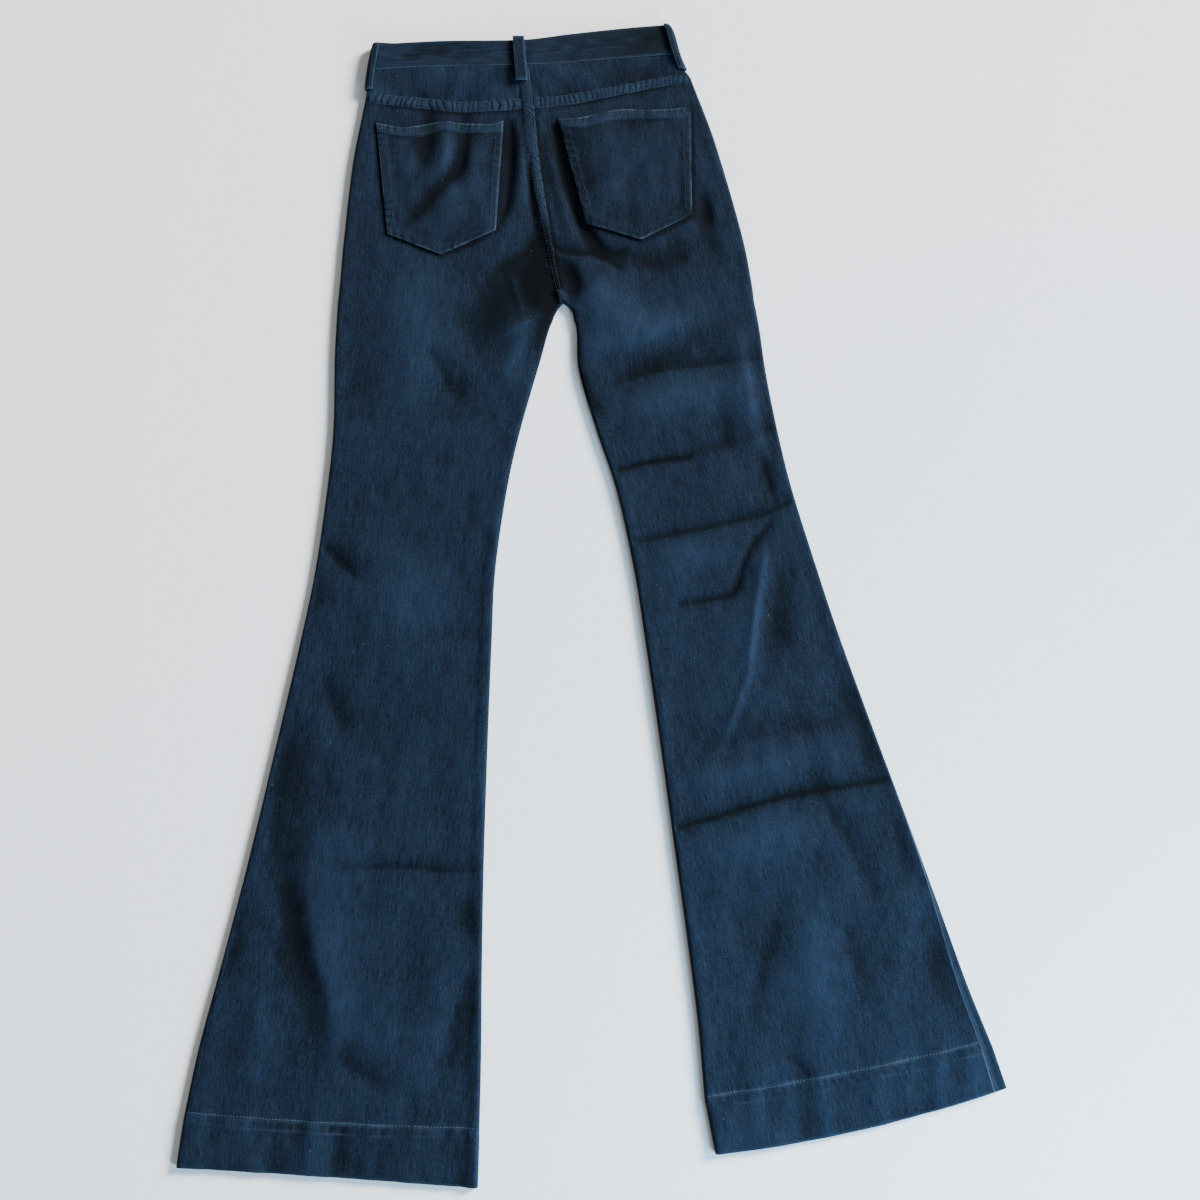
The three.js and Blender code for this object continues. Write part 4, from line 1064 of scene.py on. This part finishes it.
def makePocket(name, shape, seed):
    columns = round(pockets["wide"] / pockets["spacing"])
    rows = round(pockets["deep"] / pockets["spacing"])
    t, r = np.meshgrid(np.linspace(0, 1, columns + 1), np.linspace(0, 1, rows + 1))
    plan = pocketPlan(shape, t, r)
    x, y = plan[..., 0], plan[..., 1]
    topOuter, topInner = cornersOf(shape, "topOuter", "topInner")
    wide = np.hypot(*(topInner - topOuter))
    deep = np.hypot(x[-1] - x[0], y[-1] - y[0])[None, :]
    fromSide = np.minimum(t, 1 - t) * wide * (1 - 0.13 * r)
    fromMouth, fromFoot = r * deep, (1 - r) * deep * 0.86
    fromEdge = np.minimum(np.minimum(fromSide, fromMouth), fromFoot)
    margin = pockets["marginRise"] * (1 - ramp(fromEdge, pockets["margin"] - 1.2, pockets["margin"] + 1.2))
    margin = margin + 0.5 * (1 - ramp(fromMouth, 8.5, 11)) - 0.5 * bell(fromMouth - 11.5, 2)
    puff = pockets["puff"] * ramp(fromEdge, 6, 40)
    drift = 2.2 * swells(x, y, seed, 40, 8)
    reach = pockets["puckerReach"]
    pucker = bell(fromSide, reach) * ripple(y, pockets["sideWave"], drift)
    pucker = pucker + bell(np.minimum(fromMouth, fromFoot), reach) * ripple(x, pockets["footWave"], drift)
    pucker = pockets["pucker"] * pucker * np.clip(0.7 + 0.6 * swells(x, y, seed + 3, 50, 8), 0, 1.4)
    creases = 0.35 * swells(x, y, seed + 1, 30, 14, lean=0.8) * ramp(fromEdge, 4, 16)
    z = backFace(x, y) + lie["rest"] + pocketWall + margin + puff + pucker + creases
    z = z - 0.55 * bell(fromEdge, 0.8)
    for row, drop in zip(pockets["rows"], (0.3, 0.25)):
        z = z + stitchDrop(fromEdge - row, drop, 0.9)
    rubbed = np.clip(0.6 + 0.4 * swells(x, y, seed + 2, 26, 8), 0, 1)
    wear = rubbed * (1.15 * bell(fromEdge, 1.2) + 0.35 * bell(fromMouth - 9.8, 1.4)) + 0.14 * (fromMouth < 9)
    # painted shading: paler where the pocket stands high and on its pucker pads, painted shade on the right
    # pocket
    hollow = (z - backPlain(x, y) - 2.2) / 2.2 + 0.9 * pucker + 0.12 - 0.26 * ramp(x, -90, -40)
    values = {"hollow": np.clip(hollow, -1, 1), "wear": wear}
    return sheetOf(name, np.stack([x, y, z], -1), plan, values, pocketWall, pocketDenim, (0, 0, 1))


def pocketLine(shape, away):
    # along the sides and foot of a pocket, this far in from its edge
    corners = cornersOf(shape, "topOuter", "footOuter", "tip", "footInner", "topInner")
    centre = sum(corners) / 5
    line = []
    for start, end in zip(corners[:-1], corners[1:]):
        along = (end - start) / np.linalg.norm(end - start)
        inward = np.array([-along[1], along[0]])
        inward = inward if inward.dot(centre - start) > 0 else -inward
        trim = away * 0.8
        line.append([start + along * trim + inward * away, end - along * trim + inward * away])
    return line


def shadeBeside(piece, lines, deep, wide):
    # paints shade onto the cloth under the edge of what lies on it
    mesh = piece.data
    co = np.empty(len(mesh.vertices) * 3)
    mesh.vertices.foreach_get("co", co)
    x, y, z = ((co.reshape(-1, 3) - np.array([shift[0], shift[1], 0])) / mm).T
    hollow = np.empty(len(x), np.float32)
    mesh.attributes["hollow"].data.foreach_get("value", hollow)
    for line in lines:
        hollow -= lineFold(x, y, deep, wide, wide, 1.6, line) * (z > lie["frontBand"])
    mesh.attributes["hollow"].data.foreach_set("value", hollow.astype(np.float32))


pocketLeft = makePocket("back_pocket_left_cloth", pockets["left"], 51)
pocketRight = makePocket("back_pocket_right_cloth", pockets["right"], 52)
own(pocketLeft, "back_pocket_left")
own(pocketRight, "back_pocket_right")
# painted shadow along the sides and foot of each pocket
shadeBeside(backLeft, pocketLine(pockets["left"], -1.6), 1.1, 2.4)
shadeBeside(backRight, pocketLine(pockets["right"], -1.6), 1.1, 2.4)
# painted shade on the legs below the crotch, where they turn away
shadeBeside(backLeft, [[(-42, 300), (-46, 276), (-54, 252), (-60, 232)]], 1.3, 12)
shadeBeside(backRight, [[(-20, 222), (-6, 194), (8, 166)]], 0.9, 9)
print("pockets made")

# Felled seams: raised strips over the yoke seams and the centre-back seam. Where each runs, its
# widths, its ribs and the pitch and slant of them.
fells = {
    "wall": 0.9,
    "rise": 0.8,
    "step": 1.0,
    "pucker": 0.52,
    "row": 0.34,
    "left": {"run": (-231, -73.5), "widths": [10, 11, 11], "pitch": 6.4, "slant": 0.08, "lift": 0,
             "shade": 0, "ribs": lambda share: 1.0, "on": "back_leg_left_cloth"},
    "right": {"run": (-60.5, 99), "widths": [11, 10, 10], "pitch": 5.2, "slant": -0.1, "lift": 0,
              "shade": 0, "ribs": lambda share: 0.8, "on": "back_leg_right_cloth"},
    "centre": {"run": (534, 291), "widths": [12, 10.5, 4.5], "pitch": 4.4, "slant": -2.0, "lift": 0.1,
               "shade": 1.2, "ribs": lambda share: 0.75 - 0.7 * ramp(share, 0.55, 0.9),
               "on": "back_leg_left_cloth"},
}


def sidewaysOf(line):
    # the step of length 1 to the left of a line, at each of its places
    along = np.gradient(line, axis=0)
    along /= np.linalg.norm(along, axis=1)[:, None]
    return np.stack([-along[:, 1], along[:, 0]], -1)


def makeFell(name, lineX, lineY, seed, style):
    # a puckered strip along a line, from its first width to its last
    walk = fromStart(np.hypot(np.diff(lineX), np.diff(lineY)))
    s = np.linspace(0, walk[-1], round(walk[-1] / fells["step"]) + 1)
    middle = np.stack([np.interp(s, walk, lineX), np.interp(s, walk, lineY)], -1)
    sideways = sidewaysOf(middle)
    w = np.linspace(-0.5, 0.5, 13)[None, :]
    share = (s / walk[-1])[:, None]
    width = np.interp(share, [0, 0.45, 1], style["widths"]) * (1 + 0.04 * np.sin(s / 5 + seed)[:, None])
    away = w * width
    x = middle[:, :1] + sideways[:, :1] * away
    y = middle[:, 1:] + sideways[:, 1:] * away
    drift = 3.2 * swells(x, y, seed, 30, 8)
    phase = s[:, None] / style["pitch"] + drift / (2 * math.pi) + w * style["slant"]
    levels = np.random.default_rng(seed).uniform(0.35, 1.25, 200)
    ribs = style["ribs"](share) * levels[np.floor(phase).astype(int) % 200]
    arch = np.clip(np.cos(w * math.pi), 0, 1)
    square = 0.7 - 1.7 * bell(np.sin(math.pi * phase), 0.42)  # wide pads, narrow dips
    pucker = fells["pucker"] * ribs * square * arch ** 0.3
    sewn = stitchDrop((np.abs(w) - fells["row"]) * width, 0.3, 0.8)
    ends = ramp(np.minimum(s, walk[-1] - s), 0, 4)[:, None]
    z = backFace(x, y) + style["lift"] + fells["rise"] * arch ** 0.4 + (pucker + sewn) * ends
    grain = np.stack([away, s[:, None] + 0 * x], -1)
    # painted shade on the centre seam towards the crotch, and painted shading on the rib pads and dips
    shade = style["shade"] * ramp(share, 0.6, 0.78)
    wear = 0.05 + 0.14 * ribs * (square > 0.5) + 0.42 * (np.abs(w) > 0.44)
    values = {"hollow": 0.02 + 0.32 * ribs * square - shade, "wear": np.clip(wear * (1 - 0.6 * shade), 0, 1)}
    piece = sheetOf(name, np.stack([x, y, z], -1), grain, values, fells["wall"], seamDenim, (0, 0, 1))
    own(piece, None)
    return middle, sideways * width


acrossLeft = np.linspace(*fells["left"]["run"], 60)
acrossRight = np.linspace(*fells["right"]["run"], 60)
centreY = np.linspace(*fells["centre"]["run"], 80)
yokeFellLeft = makeFell("yoke_fell_left", acrossLeft, yokeSeam(acrossLeft), 61, fells["left"])
yokeFellRight = makeFell("yoke_fell_right", acrossRight, yokeSeam(acrossRight), 62, fells["right"])
centreFell = makeFell("centre_back_fell", centreSeam(centreY), centreY, 63, fells["centre"])
# painted shadow along the edges of the felled seams
for piece, (places, sideways), foot in ((backLeft, yokeFellLeft, -0.62), (backRight, yokeFellRight, -0.62),
                                        (backLeft, centreFell, -0.66), (backRight, centreFell, 0.66)):
    shadeBeside(piece, [(places + sideways * foot)[::8]], 0.8, 2.2)
print("felled seams made")

# Belt loops: their size, how they bow off the band, and where they are
loops = {
    "width": 12,
    "long": 48,
    "bow": 0.9,
    "rows": 34,
    "columns": 8,
    "centre": ((-77, 566), (-73, 518)),
    "leftY": (560, 510),
    "rightY": (580.5, 532),
    "frontX": (-140, 10),
    "sewIn": 1.5,
    "sewLeft": ((-229, 558), (-233, 512)),
    "sewRight": ((81.5, 578), (92.5, 535)),
}


def loopGrid():
    down = np.linspace(0, 1, loops["rows"] + 1)[:, None]
    across = np.linspace(-0.5, 0.5, loops["columns"] + 1)[None, :] * loops["width"]
    return down, across


def bowed(share):
    return lie["rest"] + loopWall + loops["bow"] * np.sin(math.pi * share) ** 0.7


def loopSheet(name, node, x, y, z, outX, outZ):
    share = np.linspace(0, 1, x.shape[0])[:, None]
    across = np.linspace(-0.5, 0.5, x.shape[1])[None, :] * loops["width"]
    fromSide = loops["width"] / 2 - np.abs(across)
    fromEnd = np.minimum(share, 1 - share) * loops["long"]
    dip = -0.5 * bell(fromSide, 0.8) + stitchDrop(fromSide - 2.2, 0.25, 0.8) - 0.5 * bell(fromEnd, 1.2)
    points = np.stack([x + outX * dip, y, z + outZ * dip], -1)
    grain = np.stack([across + 0 * x, share * loops["long"] + 0 * x], -1)
    wear = np.clip(0.75 * bell(fromSide, 1.3) + 0.8 * bell(fromEnd, 2.0), 0, 1)
    outward = (float(outX.mean()), 0, float(outZ.mean()))
    # each loop is painted a little darker with painted shade
    piece = sheetOf(name, points, grain, {"hollow": -0.1, "wear": wear}, loopWall, seamDenim, outward)
    return own(piece, node)


def makeCentreLoop(name, node):
    share, across = loopGrid()
    (topX, topY), (footX, footY) = loops["centre"]
    x = topX + (footX - topX) * share + across
    y = topY + (footY - topY) * share + 0 * across
    onBand = bandFace(x) - lie["bandStep"] * (1 - ramp(y, backSeam(x) - 5, backSeam(x)))
    onYoke = backFace(x, y) + 1.2
    under = np.where(y > backSeam(x) - 1, onBand, np.maximum(onYoke, onBand - 0.06 * (backSeam(x) - y)))
    return loopSheet(name, node, x, y, under + bowed(share), 0 * x, 0 * x + 1)


def makeSideLoop(name, node, cut, topY, footY):
    share, _ = loopGrid()
    walk = np.linspace(-1.2, 7.4, 13)[None, :]
    y = topY + (footY - topY) * share + 0 * walk
    drop = 0.05 * np.maximum(cut["bandFoot"] - y, 0)
    top, under = lie["bandSide"] - drop, lie["frontBand"] + drop
    crease = (top + under) / 2
    inset, turn = roundCrease(walk + 0 * share, top, crease, under)
    outX, outZ = cut["way"] * np.cos(turn), np.where(walk > 0, 1, -1) * np.sin(turn)
    x = sideEdge(cut, y) - cut["way"] * inset + outX * bowed(share)
    z = crease + (top - crease) * outZ + outZ * bowed(share)
    return loopSheet(name, node, x, y, z, outX, outZ)


def makeFrontLoop(name, node, centre):
    share, across = loopGrid()
    x = centre + across + 0 * share
    topY, footY = frontSeam(centre) + lie["bandHeight"], frontSeam(centre) - lie["frontFlat"] + 1
    y = topY + (footY - topY) * share + 0 * across
    return loopSheet(name, node, x, y, 0 * x, 0 * x, 0 * x - 1)


loopCentre = makeCentreLoop("loop_back_center_cloth", "loop_back_center")
loopLeft = makeSideLoop("loop_side_left_cloth", "loop_side_left", leftCut, *loops["leftY"])
loopRight = makeSideLoop("loop_side_right_cloth", "loop_side_right", rightCut, *loops["rightY"])
makeFrontLoop("loop_front_left_cloth", "loop_front_left", loops["frontX"][0])
makeFrontLoop("loop_front_right_cloth", "loop_front_right", loops["frontX"][1])
print("loops made")

# The button keeps its own solid, with an aged finish
for node in [o for o in bpy.data.objects if o.name.startswith("button")]:
    node.data.materials.clear()
    node.data.materials.append(agedBrass("button_brass"))

# Stitching: one short stitch is modelled once and copied along each seam
stitching = {
    "length": 2.4,
    "pitch": 3.3,
    "loopPitch": 2.8,
    "hemPitch": 3.1,
    "frontHemPitch": 3.6,
    "hemSize": 0.64,
    "radius": 0.4,
    "sink": 0.04,
}


def modelStitch():
    bpy.ops.object.select_all(action="DESELECT")
    bpy.ops.mesh.primitive_uv_sphere_add(segments=6, ring_count=4, radius=stitching["radius"] * mm)
    stitch = bpy.context.object
    stretch = stitching["length"] / (2 * stitching["radius"])
    bpy.ops.object.mode_set(mode="EDIT")
    bpy.ops.mesh.select_all(action="SELECT")
    bpy.ops.transform.rotate(value=math.pi / 2, orient_axis="Y", center_override=(0, 0, 0))
    bpy.ops.transform.resize(value=(stretch, 1, 0.85), center_override=(0, 0, 0))
    bpy.ops.object.mode_set(mode="OBJECT")
    corners = np.array([v.co[:] for v in stitch.data.vertices])
    # edit mode leaves corners and faces in any order, so they are put in one
    order = np.lexsort(np.round(corners.T / mm, 3))
    rank = np.argsort(order)
    faces = []
    for polygon in stitch.data.polygons:
        face = [int(rank[k]) for k in polygon.vertices]
        first = face.index(min(face))
        faces.append(tuple(face[first:] + face[:first]))
    bpy.data.objects.remove(stitch, do_unlink=True)
    return corners[order], sorted(faces)


stitchCorners, stitchFaces = modelStitch()


def treeOf(pieces):
    verts, faces = [], []
    for piece in pieces:
        base = len(verts)
        verts += [v.co.copy() for v in piece.data.vertices]
        faces += [[base + k for k in p.vertices] for p in piece.data.polygons]
    return BVHTree.FromPolygons(verts, faces)


def sew(name, lines, pieces, material, down=True, pitch=None, size=1.0, wander=0.0):
    # lays stitches along lines of places, on whatever cloth lies there
    tree = treeOf(pieces)
    pitch = (pitch or stitching["pitch"]) * mm
    verts, faces = [], []
    for line in lines:
        line = np.array(line, float)[:, :2] * mm + np.array(shift)
        steps = np.hypot(*np.diff(line, axis=0).T)
        walk = fromStart(steps)
        for s in np.arange(pitch / 2, walk[-1], pitch):
            x, y = np.interp(s, walk, line[:, 0]), np.interp(s, walk, line[:, 1])
            ahead = min(s + pitch / 3, walk[-1])
            dx = np.interp(ahead, walk, line[:, 0]) - x
            dy = np.interp(ahead, walk, line[:, 1]) - y
            y = y + wander * mm * float(swells(x / mm, y / mm, 91, 40, 6))
            start = Vector((x, y, 0.05 if down else -0.02))
            hit, normal, _, _ = tree.ray_cast(start, Vector((0, 0, -1 if down else 1)))
            if hit is None or abs(normal.z) < 0.35:
                continue
            forward = Vector((dx, dy, 0))
            forward = (forward - normal * forward.dot(normal)).normalized()
            side = normal.cross(forward)
            angle = rng.uniform(-0.06, 0.06)
            turned = forward * math.cos(angle) + side * math.sin(angle)
            side = side * math.cos(angle) - forward * math.sin(angle)
            sunk = stitching["sink"] + max(0, rng.normal(0, 0.14))
            centre = hit + normal * (stitching["radius"] * 0.45 - sunk) * mm
            axes = np.array([turned[:], side[:], normal[:]])
            base = len(verts)
            verts += [tuple(v) for v in size * stitchCorners @ axes + np.array(centre[:])]
            faces += [tuple(base + k for k in face) for face in stitchFaces]
    mesh = bpy.data.meshes.new(name)
    mesh.from_pydata(verts, [], faces)
    mesh.materials.append(material)
    piece = bpy.data.objects.new(name, mesh)
    bpy.context.collection.objects.link(piece)
    pick(piece)
    bpy.ops.object.shade_smooth()
    return own(piece)


def beside(line, away):
    # a line of places moved sideways
    return line + sidewaysOf(line) * away


def hemLine(cut, trim=3):
    # the line of places across a hem, on its stitching row
    outer = np.array([cut["outerX"][hemRow], cut["outerY"][hemRow]], float)
    inner = np.array([cut["innerX"][hemRow], cut["innerY"][hemRow]], float)
    trim = trim / legs["hemWide"]
    t = np.linspace(trim, 1 - trim, 60)[:, None]
    line = outer + (inner - outer) * t
    line[:, 1] -= cut["sag"][hemRow] * 4 * t[:, 0] * (1 - t[:, 0])
    return line


def mouthLine(shape, away):
    t = np.linspace(0.02, 0.98, 60)
    return pocketPlan(shape, t, np.full_like(t, away / pockets["middleDeep"]))


def quarterCurve(start, end, count):
    # a quarter of an ellipse, which leaves its start along Y
    turn = np.linspace(0, 1, count) * math.pi / 2
    x = start[0] + (end[0] - start[0]) * (1 - np.cos(turn))
    return np.stack([x, start[1] + (end[1] - start[1]) * np.sin(turn)], -1)


fellLines = []
for places, sideways in (yokeFellLeft, yokeFellRight, centreFell):
    fellLines += [places + sideways * share for share in (-fells["row"], fells["row"])]
strips = [bpy.data.objects[key] for key in ("yoke_fell_left", "yoke_fell_right", "centre_back_fell")]
sew("fell_stitches", fellLines, strips, darkThread)
for key, piece in (("left", pocketLeft), ("right", pocketRight)):
    lines = [side for away in pockets["rows"] for side in pocketLine(pockets[key], away)]
    lines += [mouthLine(pockets[key], away) for away in pockets["mouthRows"]]
    sew("pocket_stitches_" + key, lines, [piece], darkThread)

stitchIn = waist["stitchIn"]
bandX = np.linspace(*waist["backRun"], 90)
bandLines = [np.stack([bandX, y], -1) for y in (backSeam(bandX) + stitchIn, bandTop(bandX) - stitchIn)]
sew("band_stitches_back", bandLines, [band], darkThread)
frontX = np.linspace(*waist["frontRun"], 90)
frontRows = (stitchIn, lie["bandHeight"] - stitchIn)
frontLines = [np.stack([frontX, frontSeam(frontX) + away], -1) for away in frontRows]
sew("band_stitches_front", frontLines, [band], darkThread, down=False)

loopPitch = stitching["loopPitch"]
(topX, topY), (footX, footY) = loops["centre"]
topY, footY = topY - loops["sewIn"], footY + loops["sewIn"]
loopLines = [[(topX + away, topY), (footX + away, footY)] for away in (-3.6, 3.6)]
sew("loop_stitches", loopLines, [loopCentre], darkThread, pitch=loopPitch)
sideLines = [[(x + away, y) for x, y in loops["sewLeft"]] for away in (2.0, 6.0)]
sideLines += [[(x - away, y) for x, y in loops["sewRight"]] for away in (1.5, 5.5)]
sew("side_loop_stitches", sideLines, [loopLeft, loopRight], darkThread, pitch=loopPitch)

for key, cut, piece in (("left", leftCut, backLeft), ("right", rightCut, backRight)):
    sew("hem_stitches_" + key, [hemLine(cut)], [piece], paleThread, pitch=stitching["hemPitch"],
        size=stitching["hemSize"], wander=0.5)
for key, cut, piece in (("left", leftCut, frontLeft), ("right", rightCut, frontRight)):
    sew("hem_stitches_front_" + key, [hemLine(cut, 6)], [piece], paleThread, down=False,
        pitch=stitching["frontHemPitch"])

# The closed fly is a curved double row on the left front, the scoop openings are stitching alone
fly = {"top": 520, "turn": 400, "foot": 378, "wide": 34, "apart": 5}
scoops = {
    "left": {"start": (-165, 524), "end": (-236, 455), "apart": -6, "on": frontLeft},
    "right": {"start": (30, 536), "end": (104, 470), "apart": 6, "on": frontRight},
}
flyY = np.linspace(fly["top"], fly["turn"], 40)
flyX = centreSeam(flyY) - fly["wide"]
flyEnd = quarterCurve((flyX[-1], fly["turn"]), (flyX[-1] + fly["wide"], fly["foot"]), 24)
flyLine = np.concatenate([np.stack([flyX, flyY], -1), flyEnd])
sew("fly_stitches", [flyLine, beside(flyLine, fly["apart"])[:-6]], [frontLeft], darkThread, down=False)
for key, scoop in scoops.items():
    line = quarterCurve(scoop["start"], scoop["end"], 50)[:-3]
    sew("scoop_stitches_" + key, [line, beside(line, scoop["apart"])], [scoop["on"]], darkThread, down=False)
print("stitching done")

# Floor, camera and soft studio light
studio = {
    "floor": (0.92, 0.92, 0.915, 1),
    "floorSize": 40,
    "floorUnder": 0.0005,
    "target": (7.6, -20),
    "distance": 1.4,
    "elevation": 84,
    "lens": 42,
    "keyFrom": (8.6, 5.2, 4.7),
    "keySize": 3.6,
    "keyPower": 4600,
    "fillFrom": (1.12, -1.25, 0.7),
    "fillSize": 1.0,
    "fillPower": 75,
    "fillColour": (0.36, 0.68, 1),
    "world": 0.34,
    "world": 0.34,
    "sky": (0.97, 0.985, 1, 1),
}
bpy.ops.object.select_all(action="DESELECT")
bpy.ops.mesh.primitive_plane_add(size=studio["floorSize"], location=(0, 0, -studio["floorUnder"]))
floor = bpy.context.object
floor.name = "floor"
paper = Finish("pale_floor")
paperTone = paper.mix(paper.mottle(1.0, 2.0), darker(studio["floor"], 0.99), studio["floor"])
floor.data.materials.append(paper.surface(Base_Color=paperTone, Roughness=0.95, Specular_IOR_Level=0.1))

target = Vector((studio["target"][0] * mm + shift[0], studio["target"][1] * mm + shift[1], 0))
tilt = math.radians(studio["elevation"])
toCamera = Vector((0, -math.cos(tilt), math.sin(tilt))) * studio["distance"]
bpy.ops.object.camera_add(location=target + toCamera)
camera = bpy.context.object
camera.rotation_euler = (math.pi / 2 - tilt, 0, 0)
camera.data.lens = studio["lens"]
camera.data.sensor_width = 36
camera.data.clip_start = 0.01
bpy.context.scene.camera = camera


def softbox(name, place, size, power, colour=(1, 1, 1)):
    bpy.ops.object.light_add(type="AREA", location=place)
    light = bpy.context.object
    light.name = name
    light.data.shape = "DISK"
    light.data.size = size
    light.data.energy = power
    light.data.color = colour
    light.rotation_euler = (target - Vector(place)).to_track_quat("-Z", "Y").to_euler()


softbox("key", studio["keyFrom"], studio["keySize"], studio["keyPower"])
softbox("fill", studio["fillFrom"], studio["fillSize"], studio["fillPower"], studio["fillColour"])
world = bpy.data.worlds.new("studio")
world.use_nodes = True
background = world.node_tree.nodes["Background"]
background.inputs[0].default_value = studio["sky"]
background.inputs[1].default_value = studio["world"]
bpy.context.scene.world = world
print("studio set")
